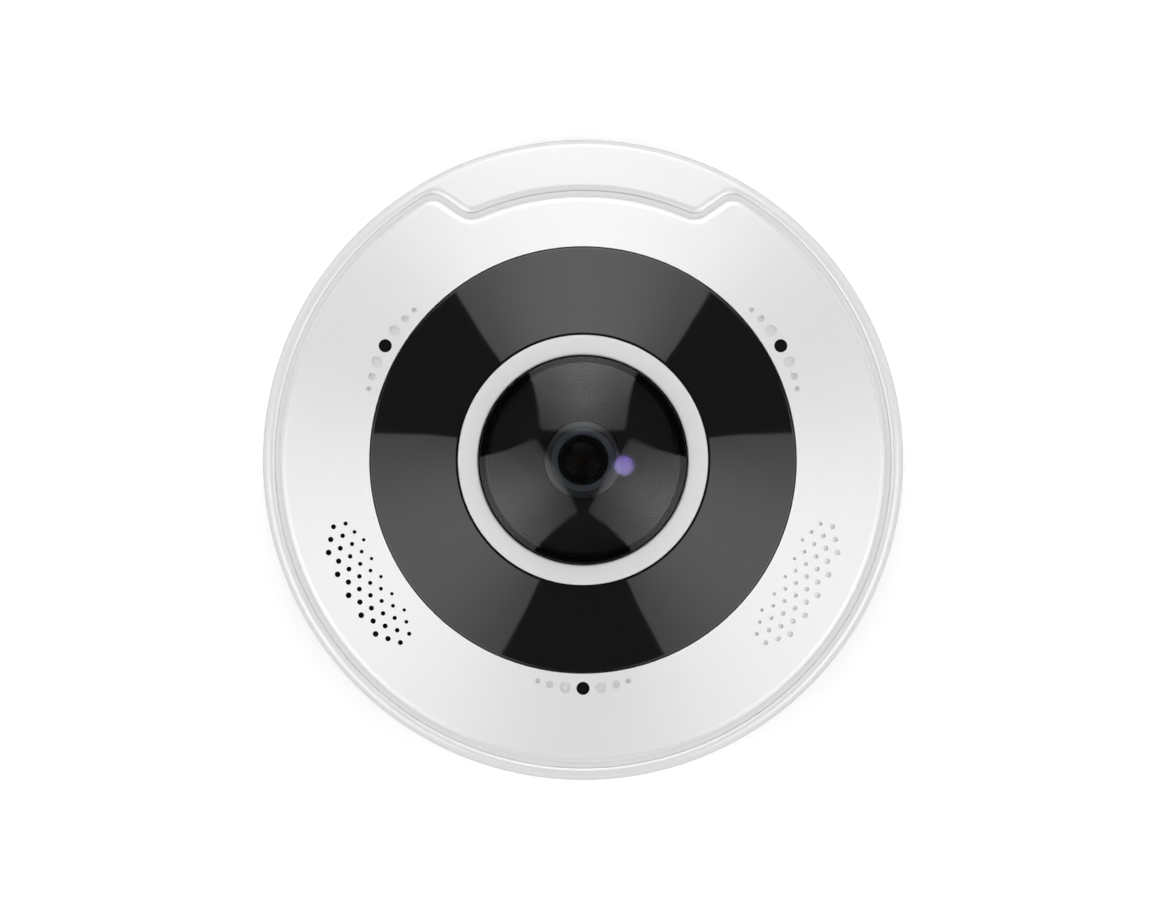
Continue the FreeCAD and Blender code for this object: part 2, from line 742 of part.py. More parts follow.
def make_rear_housing():
    """Die-cast housing with its skirt, ledge, land, posts, columns and ribs."""
    inner_skirt = S.outer_radius - S.housing_wall
    blank = revolved("housing_blank", [
        (0, REAR_FACE),
        (inner_skirt - 0.2, REAR_FACE),
        (inner_skirt, S.rim_lift),
        (S.outer_radius - 0.5, S.rim_lift),
        (S.outer_radius, S.rim_lift + 0.5),
        (S.shoulder_radius, S.shoulder_height),
        (S.band_radius, cover_height(S.band_radius), S.shoulder_round),
        (S.opening_radius, cover_height(S.opening_radius)),
        (0, cover_height(S.opening_radius)),
    ])
    mouth = cover_prism("housing_mouth", S.part_gap, S.ledge_height, ABOVE - S.ledge_height)
    open_blank = cut_away("housing_open", blank, mouth)
    rim_radius = S.notch_radius.value + S.part_gap.value

    def soft(edge):
        """Edges of the mouth in the sloping top."""
        box = edge.BoundBox
        middle = edge.valueAt((edge.FirstParameter + edge.LastParameter) / 2)
        far = math.hypot(middle.x, middle.y)
        low = cover_height(S.band_radius).value + 0.01
        return box.ZMin > low and rim_radius - 0.1 < far < S.joint_radius.value + S.part_gap.value

    soft_blank = rounded("housing_soft", open_blank, SOFT_ROUND, soft)
    ledge_bottom = S.ledge_height - S.ledge_depth
    through = cover_prism("housing_throat", -S.ledge_width, ledge_bottom - 1, S.ledge_depth + 2)
    step_bottom = S.ledge_height - 0.5
    step_rim = cover_prism("step_rim", S.part_gap + 0.1, step_bottom, ABOVE - step_bottom)
    step_core = cover_prism("step_core", S.part_gap - S.step_width, step_bottom - 1, ABOVE - step_bottom + 2)
    step_wall = cut_away("step_wall", step_rim, step_core)
    step = shared("housing_step", step_wall, cover_blank("step_top", S.joint_depth, step_bottom - 1))
    wall_low = inner_skirt - 0.3
    wall_high = S.shoulder_radius - S.housing_wall
    throat = S.joint_radius - S.ledge_width
    room = revolved("housing_room", [
        (0, REAR_INSIDE),
        (wall_low - 2, REAR_INSIDE),
        (wall_low, REAR_INSIDE + 2, 2),
        (wall_high, ledge_bottom - (wall_high - throat)),
        (throat, ledge_bottom),
        (0, ledge_bottom),
    ])
    core_inner = S.notch_radius + S.land_core_wall + S.part_gap
    core_outer = wall_high - 0.6
    core = revolved("land_core", [
        (core_inner, ledge_bottom - 5),
        (core_outer, ledge_bottom - 5),
        (core_outer, cover_height(core_outer) - S.land_core_wall),
        (core_inner, cover_height(core_inner) - S.land_core_wall),
    ], S.land_core_angle)
    place(core, 0, 0, 0, 90 - S.land_core_angle / 2)
    shell = cut_away("housing_shell", soft_blank, [through, room, core])
    root_height = REAR_INSIDE - OVERSHOOT
    post = rod("board_post", S.board_post_radius, root_height, S.main_board_height - root_height)
    tall = rod("chassis_post", S.chassis_post_radius, root_height, S.chassis_height - root_height)
    column = rod("case_column", S.column_radius, root_height, S.ledge_height - root_height)
    stud_boss = rod("stud_boss", S.stud_head_radius, root_height, 3.5)
    pedestal = block("pedestal", S.pedestal_side, S.pedestal_side, PEDESTAL_TOP - root_height,
                     0, S.pedestal_place, root_height)
    rib = block("rear_rib", S.rib_length, S.rib_thickness, S.rib_depth,
                inner_skirt - S.rib_length / 2, 0, REAR_FACE - S.rib_depth)
    solid = fused("housing_solid", [
        shell,
        step,
        copies("board_posts", post, BOARD_POSTS),
        copies("chassis_posts", tall, CHASSIS_POSTS),
        copies("case_columns", column, COLUMNS),
        copies("stud_bosses", stud_boss, STUDS),
        pedestal,
        copies("rear_ribs", rib, turns_about_axis(15, S.rib_count)),
    ])
    pilot = S.small_screw + S.fit_gap
    board_pilot = rod("board_pilot", pilot, REAR_INSIDE + 0.5, S.main_board_height)
    chassis_pilot = rod("chassis_pilot", pilot, S.chassis_height - 8, 10)
    case_bore = rod("case_bore", S.case_screw + S.part_gap, 0, S.ledge_height + 2)
    case_pocket = rod("case_pocket", S.case_head + S.part_gap, 0, S.case_head_height)
    stud_bore = rod("stud_bore", S.stud_thread_radius + S.fit_gap, 0, REAR_FACE + S.stud_thread_length + 0.3)
    gland_hole = rod("gland_hole", S.gland_hole, 0, REAR_INSIDE + 1, 0, -S.gland_place)
    lock_bore = DOC.addObject("Part::Cylinder", "lock_bore")
    tie(lock_bore, "Radius", S.lock_screw_radius + S.fit_gap)
    tie(lock_bore, "Height", S.outer_radius)
    lock_bore.Placement = FreeCAD.Placement(FreeCAD.Vector(), FreeCAD.Rotation(FreeCAD.Vector(1, 0, 0), 90))
    tie(lock_bore, "Placement.Base.y", -S.plate_radius)
    tie(lock_bore, "Placement.Base.z", S.lock_screw_height)
    tools = [
        copies("board_pilots", board_pilot, BOARD_POSTS),
        copies("chassis_pilots", chassis_pilot, CHASSIS_POSTS),
        copies("case_bores", case_bore, COLUMNS),
        copies("case_pockets", case_pocket, COLUMNS),
        copies("stud_bores", stud_bore, STUDS),
        gland_hole,
        lock_bore,
    ]
    keep(cut_away("housing_cut", solid, tools), "rear_housing")


# Front cover


def cover_blank(name, drop, bottom):
    """Solid below the cover's cone, lowered by a distance."""
    far = S.outer_radius + 2
    return revolved(name, [
        (0, bottom),
        (far, bottom),
        (far, cover_height(far) - drop),
        (0, cover_height(as_size(0)) - drop),
    ])


def grille_circles(middle_angle):
    """Middles and radii of the holes of one grille, seven rows that fit a rounded patch."""
    counts = (5, 6, 7, 6, 7, 6, 5)
    circles = []
    for row, count in enumerate(counts):
        radius = S.grille_radius + S.grille_pitch * row
        hole = S.grille_hole + S.grille_growth * row
        for step in range(count):
            angle = middle_angle + S.grille_step * (step - (count - 1) / 2)
            across, along = polar(radius, angle)
            circles.append((across, along, hole))
    return circles


def mic_dimple_circles():
    """Three dimples of falling size on each side of every microphone hole."""
    circles = []
    for _, _, angle in ring_places(1, S.mic_start, S.mic_count):
        for side in (-1, 1):
            for place_in_row, share, radius_share in ((1.0, 1.0, 1.0), (1.87, 0.994, 0.68), (2.58, 0.988, 0.46)):
                turn = angle + S.mic_step * (side * place_in_row)
                across, along = polar(S.mic_circle * share, turn)
                circles.append((across, along, S.mic_dimple * radius_share))
    return circles


def pegs(name, circles, bottom, height):
    """Upright pegs raised from one sketch of circles."""
    sketch = DOC.addObject("Sketcher::SketchObject", f"{name}_sketch")
    for across, along, radius in circles:
        draw_circle(sketch, across, along, radius)
    raised = DOC.addObject("Part::Extrusion", name)
    raised.Base = sketch
    raised.DirMode = "Normal"
    raised.Solid = True
    tie(raised, "LengthFwd", height)
    place(raised, 0, 0, bottom)
    return raised


def make_front_shell():
    """Conical cover with its skirt, window lip, grille, microphone holes and bosses."""
    skirt_bottom = S.ledge_height + S.cover_wall / 2
    tall = ABOVE - skirt_bottom
    cone = cover_blank("cover_cone", 0, skirt_bottom)
    prism = cover_prism("cover_outline", as_size(0), skirt_bottom, tall)
    puck = shared("cover_puck", cone, prism)

    def soft(edge):
        """Edges between the cone and the skirt."""
        return edge.BoundBox.ZMin > cover_height(COVER_RADIUS).value - 0.05

    soft_puck = rounded("cover_soft", puck, SOFT_ROUND, soft)
    hollow_cone = cover_blank("cover_hollow_cone", S.cover_wall, skirt_bottom - 1)
    hollow_prism = cover_prism("cover_hollow_outline", -S.cover_wall, skirt_bottom - 1, tall)
    hollow = shared("cover_hollow", hollow_cone, hollow_prism)
    opening = revolved("window_opening", [
        (0, LIP_BOTTOM - 3),
        (S.opening_radius - S.lip_width, LIP_BOTTOM - 3),
        (S.opening_radius - S.lip_width, LIP_TOP),
        (S.opening_radius, LIP_TOP),
        (S.opening_radius, ABOVE),
        (0, ABOVE),
    ])
    lip = revolved("window_lip", [
        (S.opening_radius - S.lip_width, LIP_BOTTOM),
        (S.opening_radius + 1.6, LIP_BOTTOM),
        (S.opening_radius + 1.6, cover_height(S.opening_radius + 1.6) - S.cover_wall / 2),
        (S.opening_radius, LIP_TOP),
        (S.opening_radius - S.lip_width, LIP_TOP),
    ])
    boss_bottom = S.ledge_height + S.part_gap
    boss_top = cover_height(S.column_circle) - S.cover_wall / 2
    boss = rod("cover_boss", S.boss_radius, boss_bottom, boss_top - boss_bottom)
    bosses = copies("cover_bosses", boss, COLUMNS)
    ear_top = cover_height(S.ear_circle) - S.cover_wall / 2
    ear_boss = rod("ear_boss", S.ear_radius - 0.4, LIP_BOTTOM, ear_top - LIP_BOTTOM)
    ear_bosses = copies("ear_bosses", ear_boss, EARS)
    open_shell = cut_away("cover_open", soft_puck, [hollow, opening])
    solid = fused("cover_solid", [open_shell, lip, bosses, ear_bosses])
    pilot = rod("cover_pilot", S.case_screw + S.fit_gap, boss_bottom - 1, 5.6)
    ear_pilot = rod("ear_pilot", S.small_screw + S.fit_gap, LIP_BOTTOM - 1, 4.0)
    mic_circles = [(across, along, S.mic_hole) for across, along, _ in
                   ring_places(S.mic_circle, S.mic_start, S.mic_count)]
    through = grille_circles(S.grille_angle) + mic_circles
    grille = pegs("grille_pegs", through, S.ledge_height + 2, ABOVE - S.ledge_height)
    blind = grille_circles(S.blind_angle) + mic_dimple_circles()
    blind_pegs = pegs("blind_pegs", blind, S.ledge_height + 2, ABOVE - S.ledge_height)
    floor = cover_blank("dimple_floor", S.dimple_depth, skirt_bottom - 2)
    dimples = cut_away("dimples", blind_pegs, floor)
    rebate_rim = cover_prism("rebate_rim", as_size(1), skirt_bottom - 1, tall + 1)
    rebate_core = cover_prism("rebate_core", -S.step_width, skirt_bottom - 2, tall + 3)
    rebate_ring = cut_away("rebate_ring", rebate_rim, rebate_core)
    rebate_top = cover_blank("rebate_top", S.joint_depth - S.part_gap, skirt_bottom - 2)
    rebate = shared("cover_rebate", rebate_ring, rebate_top)
    tools = [
        rebate,
        copies("cover_pilots", pilot, COLUMNS),
        copies("ear_pilots", ear_pilot, EARS),
        grille,
        dimples,
    ]
    keep(cut_away("cover_cut", solid, tools), "front_shell")


def make_window():
    """Black conical ring over the infrared lamps, with its seal."""
    inner_top = window_height(S.window_inner)
    outer_top = window_height(S.window_outer)
    keep(revolved("window_body", [
        (S.window_inner, inner_top - S.window_wall),
        (S.window_outer, outer_top - S.window_wall),
        (S.window_outer, outer_top - 0.3),
        (S.window_outer - 0.3, outer_top),
        (S.window_inner + 0.2, inner_top),
        (S.window_inner, inner_top - 0.2),
    ]), "ir_window")
    keep(revolved("window_seal_body", [
        (S.opening_radius - S.lip_width + S.fit_gap, LIP_TOP),
        (S.window_outer, LIP_TOP),
        (S.window_outer, LIP_TOP + S.seal_thickness - 0.05),
        (S.opening_radius - S.lip_width + S.fit_gap, LIP_TOP + S.seal_thickness - 0.05),
    ]), "window_seal")


def make_dome():
    """Clear dome with its flange, the ring that holds it and its seal."""
    rise = S.total_height - S.dome_shoulder
    outer = cap_radius(S.dome_radius, rise)
    inner_radius = S.dome_radius - S.dome_wall
    inner = cap_radius(inner_radius, rise - S.dome_wall)
    keep(revolved("dome_body", [
        (inner_radius, FLANGE_BOTTOM),
        (S.flange_radius, FLANGE_BOTTOM),
        (S.flange_radius, FLANGE_TOP),
        (S.dome_radius, FLANGE_TOP),
        (S.dome_radius, S.dome_shoulder),
        (0, S.total_height, outer),
        (0, S.total_height - S.dome_wall),
        (inner_radius, S.dome_shoulder, -inner),
    ]), "dome")
    bottom = FLANGE_TOP + 0.05
    keep(revolved("ring_body", [
        (S.ring_inner, bottom),
        (S.ring_outer, bottom),
        (S.ring_outer, S.ring_top - S.ring_round),
        (S.ring_outer - S.ring_round, S.ring_top, S.ring_round),
        (S.ring_inner + S.ring_round, S.ring_top),
        (S.ring_inner, S.ring_top - S.ring_round, S.ring_round),
    ]), "dome_ring")
    inner_seal = S.dome_radius + 1
    keep(revolved("dome_seal_body", [
        (inner_seal, FLANGE_BOTTOM - S.seal_thickness),
        (S.flange_radius, FLANGE_BOTTOM - S.seal_thickness),
        (S.flange_radius, FLANGE_BOTTOM),
        (inner_seal, FLANGE_BOTTOM),
    ]), "dome_seal")


def make_window_carrier():
    """Black moulding under the window: dome seat, lamp openings and screw ears."""
    top = LIP_BOTTOM - 0.05
    bottom = top - S.carrier_wall
    collar_top = FLANGE_BOTTOM - S.seal_thickness
    inner = S.dome_radius + 0.6
    plate = revolved("carrier_plate", [
        (inner, bottom),
        (S.carrier_outer, bottom),
        (S.carrier_outer, top),
        (S.flange_radius, top),
        (S.flange_radius, collar_top),
        (inner, collar_top),
    ])
    ear = rod("carrier_ear", S.ear_radius, bottom, S.carrier_wall)
    ears = copies("carrier_ear_group", ear, EARS)
    arm_length = S.ear_circle - S.carrier_outer + 2
    arm = block("carrier_arm", arm_length, S.ear_radius * 2, S.carrier_wall,
                S.ear_circle - arm_length / 2, 0, bottom)
    arms = copies("carrier_arms", arm, turns_about_axis(0, S.carrier_ears))
    solid = fused("carrier_solid", [plate, ears, arms])
    lamp_hole = rod("lamp_opening", S.led_lens_radius + S.part_gap * 2, bottom - 1, S.carrier_wall + 2)
    screw_hole = rod("carrier_screw_hole", S.small_screw + S.fit_gap, bottom - 1, S.carrier_wall + 2)
    tools = [
        copies("lamp_openings", lamp_hole, ring_places(S.led_circle, S.stud_start, S.stud_count)),
        copies("carrier_screw_holes", screw_hole, EARS),
    ]
    keep(cut_away("carrier_cut", solid, tools), "window_carrier")
    fastener = screw("window_screw", S.small_screw, S.small_head, S.head_height, 4.4, upside=True)
    place(fastener, 0, 0, bottom)
    keep(copies("window_screw_group", fastener, EARS), "window_screws")


def make_case_seal():
    """Rubber seal on the ledge, following the cover's outline."""
    height = S.cover_wall / 2 - S.part_gap
    outside = cover_prism("seal_outside", S.part_gap - S.step_width - S.fit_gap, S.ledge_height, height)
    inside = cover_prism("seal_inside", -S.cover_wall, S.ledge_height - 1, height + 2)
    keep(cut_away("seal_cut", outside, inside), "case_seal")


def make_case_screws():
    """Captive screws that pull the front cover down, entered from the rear."""
    length = S.ledge_height + S.part_gap + 4.2 - S.case_head_height
    fastener = screw("case_screw_one", S.case_screw, S.case_head, S.head_height * 1.5, length, upside=True)
    place(fastener, 0, 0, S.case_head_height)
    keep(copies("case_screw_group", fastener, COLUMNS), "case_screws")


def make_cable_gland():
    """Rubber gland snapped into the rear wall, with its cable bore."""
    neck = S.gland_hole - S.fit_gap
    low = REAR_FACE - 3
    high = REAR_INSIDE + 2.4
    gland = revolved("gland_body", [
        (S.gland_bore, low - 0.8),
        (S.gland_bore + 2.4, low - 0.8),
        (S.gland_bore + 3.4, low),
        (S.gland_flange - 1, low),
        (S.gland_flange, low + 1, 1),
        (S.gland_flange, REAR_FACE - 0.05),
        (neck, REAR_FACE - 0.05),
        (neck, REAR_INSIDE + 0.05),
        (S.gland_flange - 0.8, REAR_INSIDE + 0.05),
        (neck, high),
        (S.gland_bore, high),
    ])
    place(gland, 0, -S.gland_place, 0)
    keep(gland, "cable_gland")


# Lens


def make_lens():
    """Barrel, front glass, its retainer, rear glasses and locking ring."""
    thread = S.barrel_thread - S.fit_gap / 2
    bore = thread - 1.4
    low = S.tray_height + S.tray_thickness + S.barrel_lift
    neck_top = HOLDER_TOP + 2.4
    cup = S.barrel_radius - 1.1
    shelf = EYE_RIM - 2.4
    keep(revolved("barrel_body", [
        (bore, low),
        (thread, low),
        (thread, neck_top),
        (S.barrel_radius - 1.3, neck_top),
        (S.barrel_radius, neck_top + 1.3),
        (S.barrel_radius, EYE_RIM),
        (cup, EYE_RIM),
        (cup, shelf),
        (bore + 1.8, shelf),
        (bore, shelf - 2),
    ]), "lens_barrel")
    rise = EYE_TOP - EYE_RIM
    glass = cup - S.fit_gap / 2
    outer = cap_radius(glass, rise)
    hollow = S.eye_radius - 1.6
    inner = cap_radius(hollow, EYE_TOP - S.eye_wall - shelf)
    keep(revolved("eye_body", [
        (hollow, shelf, -inner),
        (glass, shelf),
        (glass, EYE_RIM),
        (0, EYE_TOP, outer),
        (0, EYE_TOP - S.eye_wall),
    ]), "front_element")
    seat = EYE_RIM + 0.05
    keep(revolved("retainer_body", [
        (S.barrel_radius - 0.9, seat),
        (S.barrel_radius, seat),
        (S.barrel_radius, seat + S.retainer_height - 0.4),
        (S.barrel_radius - 0.4, seat + S.retainer_height),
        (S.eye_radius + 0.35, seat + S.retainer_height + 0.35),
        (S.eye_radius + 0.35, seat + S.retainer_height),
    ]), "lens_retainer")
    glasses = []
    for number, share in enumerate((0.05, 0.36, 0.67)):
        bottom = low + (shelf - 2 - low) * share
        glasses.append(revolved(f"rear_glass_{number}", [
            (0, bottom),
            (bore - 0.03, bottom + 0.5),
            (bore - 0.03, bottom + 1.6),
            (0, bottom + 2.3),
        ]))
    group = DOC.addObject("Part::Compound", "rear_glasses")
    group.Links = glasses
    keep(group, "lens_elements")
    keep(revolved("focus_ring_body", [
        (thread + 0.06, HOLDER_TOP + 0.1),
        (thread + 2.4, HOLDER_TOP + 0.1),
        (thread + 2.4, neck_top - 0.3),
        (thread + 0.06, neck_top - 0.3),
    ]), "focus_ring")


def make_lens_shroud():
    """Black moulding that hides the inside round the lens."""
    hole = S.barrel_radius + 0.45
    inner = S.shroud_radius - S.shroud_wall
    foot = LED_BOARD_TOP + 0.05
    keep(revolved("shroud_body", [
        (inner, foot),
        (S.led_board_inner + 3.4, foot),
        (S.led_board_inner + 3.4, foot + S.shroud_wall),
        (S.shroud_radius + 0.6, foot + S.shroud_wall),
        (S.shroud_radius, foot + S.shroud_wall + 0.6, -0.6),
        (S.shroud_radius, SHROUD_SHOULDER - 1),
        (S.shroud_radius - 1, SHROUD_SHOULDER, 1),
        (hole, SHROUD_TOP),
        (hole, SHROUD_TOP - S.shroud_wall),
        (inner - 0.4, SHROUD_SHOULDER - S.shroud_wall),
    ]), "lens_shroud")


def make_lens_holder():
    """Moulded block over the image sensor with the filter's slot and the lens thread."""
    base = block("holder_base", S.holder_length, S.holder_width, S.tray_height + 3.2 - SENSOR_BOARD_TOP,
                 0, 0, SENSOR_BOARD_TOP)
    neck = rod("holder_neck", S.barrel_thread + 2.4, S.tray_height + 3, HOLDER_TOP - S.tray_height - 3)
    solid = fused("holder_solid", [base, neck])
    room = block("sensor_room", S.sensor_width + 2, S.sensor_depth + 2, S.sensor_height + 2.6,
                 0, 0, SENSOR_BOARD_TOP - 1)
    light = rod("light_path", S.barrel_thread - 1.4, SENSOR_BOARD_TOP, ABOVE)
    thread = rod("holder_thread", S.barrel_thread, S.tray_height + 2.4, ABOVE)
    slot_length = S.tray_length + S.filter_travel + S.part_gap * 2
    tray_slot = block("tray_slot", slot_length, S.tray_width + S.part_gap * 2,
                      S.tray_thickness + S.part_gap * 2, 0, 0, S.tray_height - S.part_gap)
    tab_room = block("tab_room", S.filter_travel + 8, S.holder_width, S.tray_thickness + S.part_gap * 2,
                     0, S.holder_width / 2, S.tray_height - S.part_gap)
    swing_radius = S.arm_length + 1.2 + S.part_gap
    swing_room = rod("swing_room", swing_radius, S.tray_height + S.tray_thickness, ABOVE, 0, S.arm_pivot)
    tools = [room, light, thread, tray_slot, tab_room, swing_room]
    keep(cut_away("holder_cut", solid, tools), "lens_holder")


def make_filter():
    """Filter tray with two glasses, and the motor whose arm slides it."""
    start = -S.filter_travel / 2
    plate = block("tray_plate", S.tray_length, S.tray_width, S.tray_thickness, start, 0, S.tray_height)
    tab_length = S.arm_pivot - S.arm_length + S.arm_pin_radius + 2.6 - S.tray_width / 2
    tab = block("tray_tab", 5, tab_length, S.tray_thickness,
                start, S.tray_width / 2 + tab_length / 2 - 0.5, S.tray_height)
    solid = fused("tray_solid", [plate, tab])
    windows = []
    panes = []
    for number, side in enumerate((-1, 1)):
        middle = start + side * S.filter_travel / 2
        windows.append(rod(f"tray_window_{number}", S.filter_side / 2 - 0.6, S.tray_height - 1, 4, middle, 0))
        windows.append(block(f"tray_pocket_{number}", S.filter_side + S.fit_gap, S.filter_side + S.fit_gap, 2,
                             middle, 0, S.tray_height + 0.6))
        panes.append(block(f"filter_pane_{number}", S.filter_side, S.filter_side, 0.6,
                           middle, 0, S.tray_height + 0.65))
    pin_slot_length = 4.2
    reach = S.arm_pivot - S.arm_length * (1 + cosine(42)) / 2
    windows.append(block("pin_slot", S.arm_pin_radius * 2 + 0.8, pin_slot_length, 4,
                         start, reach, S.tray_height - 1))
    keep(cut_away("tray_cut", solid, windows), "filter_tray")
    group = DOC.addObject("Part::Compound", "filter_panes")
    group.Links = panes
    keep(group, "filter_glasses")
    swing = 41.81
    arm_bottom = S.tray_height + S.tray_thickness + 0.9
    arm_bar = block("arm_bar", 2.4, S.arm_length, 1.2, 0, -S.arm_length / 2, arm_bottom)
    arm_hub = rod("arm_hub", 2.2, arm_bottom, 1.2)
    arm_nose = rod("arm_nose", 1.2, arm_bottom, 1.2, 0, -S.arm_length)
    arm_pin = rod("arm_pin", S.arm_pin_radius, S.tray_height + 0.1, 1.6 + S.tray_thickness, 0, -S.arm_length)
    axle = rod("arm_axle", 1.0, S.tray_height - 2.4, 3.8 + S.tray_thickness)
    arm = fused("arm_solid", [arm_bar, arm_hub, arm_nose, arm_pin, axle])
    place(arm, 0, S.arm_pivot, 0, -swing)
    keep(arm, "filter_arm")
    yoke_top = S.tray_height - 1.2
    yoke_bottom = SENSOR_BOARD_TOP
    yoke = block("motor_yoke", 15, 7.6, yoke_top - yoke_bottom, 0, S.arm_pivot, yoke_bottom)
    bearing = rod("motor_bearing", 1.0 + 0.06, yoke_top - 2, 4, 0, S.arm_pivot)
    keep(cut_away("motor_cut", yoke, bearing), "filter_motor")


# Boards and chassis


def make_main_board():
    """Main board on the housing's posts, with its screws."""
    hole = S.small_screw + S.fit_gap
    holes = [(across, along, hole) for across, along, _ in BOARD_POSTS]
    board = padded("main_board_body", S.main_board_radius, S.main_board_height, S.board_thickness, holes)
    keep(board, "main_board")
    fastener = screw("board_screw", S.small_screw, S.small_head, S.head_height, 5)
    place(fastener, 0, 0, MAIN_BOARD_TOP)
    keep(copies("board_screw_group", fastener, BOARD_POSTS), "board_screws")


def make_main_chip():
    """Processor under the main board and the pad that carries its heat to the pedestal."""
    chip_bottom = S.main_board_height - S.chip_height
    chip = block("main_chip_body", S.chip_side, S.chip_side, S.chip_height, 0, S.pedestal_place, chip_bottom)
    keep(chip, "main_chip")
    pad_height = S.pedestal_gap - S.chip_height
    pad = block("thermal_pad_body", S.chip_side, S.chip_side, pad_height, 0, S.pedestal_place, PEDESTAL_TOP)
    keep(pad, "thermal_pad")


def make_board_parts():
    """Memory, network jack, terminal block, transformer and capacitors on the main board."""
    chip = block("memory_chip", 9, 13, 1.1, 0, 0, S.main_board_height - 1.1)
    spots = [(-14, S.pedestal_place, 0), (14, S.pedestal_place, 0)]
    keep(copies("memory_group", chip, spots), "memory_chips")
    shell = block("jack_shell", 21.3, 16, 13.2, -44, 8, MAIN_BOARD_TOP)
    mouth = block("jack_mouth", 14, 11.8, 8.4, -49, 8, MAIN_BOARD_TOP + 2.4)
    latch = block("jack_latch", 14, 4, 3, -49, 8, MAIN_BOARD_TOP + 9)
    keep(cut_away("jack_cut", shell, [mouth, latch]), "ethernet_jack")
    body = block("terminal_body", 28, 8.5, 9.5, 22, -46, MAIN_BOARD_TOP)
    pits = [block(f"terminal_pit_{number}", 2.4, 10, 2.6, 22 + 3.5 * (number - 3.5), -48.5, MAIN_BOARD_TOP + 2)
            for number in range(8)]
    keep(cut_away("terminal_cut", body, pits), "terminal_block")
    core = block("transformer_core", 17, 13, 9, -20, -33, MAIN_BOARD_TOP + 0.6)
    base = block("transformer_base", 20, 16, 1.6, -20, -33, MAIN_BOARD_TOP)
    keep(fused("transformer_solid", [core, base]), "power_transformer")
    can = revolved("capacitor_body", [
        (0, MAIN_BOARD_TOP),
        (4, MAIN_BOARD_TOP),
        (4, MAIN_BOARD_TOP + 1.6),
        (3.7, MAIN_BOARD_TOP + 2),
        (4, MAIN_BOARD_TOP + 2.4),
        (4, MAIN_BOARD_TOP + 10),
        (3.6, MAIN_BOARD_TOP + 10.4),
        (0, MAIN_BOARD_TOP + 10.4),
    ])
    keep(copies("capacitor_group", can, [(-6, -40, 0), (-6, -50, 0)]), "capacitors")


def make_card():
    """Memory card in its slot at the main board's edge, and the reset button beside it."""
    card_bottom = MAIN_BOARD_TOP + S.slot_wall + S.fit_gap
    plate = block("card_plate", S.card_length, S.card_width, S.card_thickness, S.card_place, 0, card_bottom)
    outer_end = S.card_place + S.card_length / 2
    lip = block("card_grip", 0.8, S.card_width, 0.3, outer_end - 0.4, 0, card_bottom + S.card_thickness - 0.05)
    notch = block("card_notch", 3, 1.2, 4, S.card_place - 2, S.card_width / 2, card_bottom - 1)
    keep(cut_away("card_cut", fused("card_solid", [plate, lip]), notch), "memory_card")
    room = S.card_thickness + S.fit_gap * 2
    slot_length = S.card_length - 1.4
    slot_middle = S.card_place - 1.2
    wall = S.slot_wall
    shell = block("slot_shell", slot_length, S.card_width + 2.4, room + wall * 2, slot_middle, 0, MAIN_BOARD_TOP)
    cavity = block("slot_cavity", slot_length, S.card_width + S.fit_gap * 2, room,
                   slot_middle + wall, 0, MAIN_BOARD_TOP + wall)
    window = block("slot_window", 4, S.card_width - 4, 3, slot_middle - 2, 0, MAIN_BOARD_TOP + room)
    keep(cut_away("slot_cut", shell, [cavity, window]), "card_slot")
    base = block("switch_base", S.switch_side, S.switch_side, S.switch_height,
                 S.card_place, S.switch_across, MAIN_BOARD_TOP)
    well = rod("switch_well", S.button_radius + S.fit_gap, MAIN_BOARD_TOP + 1.0, 4, S.card_place, S.switch_across)
    keep(cut_away("switch_cut", base, well), "reset_switch")
    bottom = MAIN_BOARD_TOP + 1.0 + S.button_travel + S.fit_gap
    top = MAIN_BOARD_TOP + S.switch_height + S.button_height
    button = revolved("button_body", [
        (0, bottom),
        (S.button_radius, bottom),
        (S.button_radius, top - 0.3),
        (S.button_radius - 0.3, top, 0.3),
        (0, top),
    ])
    place(button, S.card_place, S.switch_across, 0)
    keep(button, "reset_button")


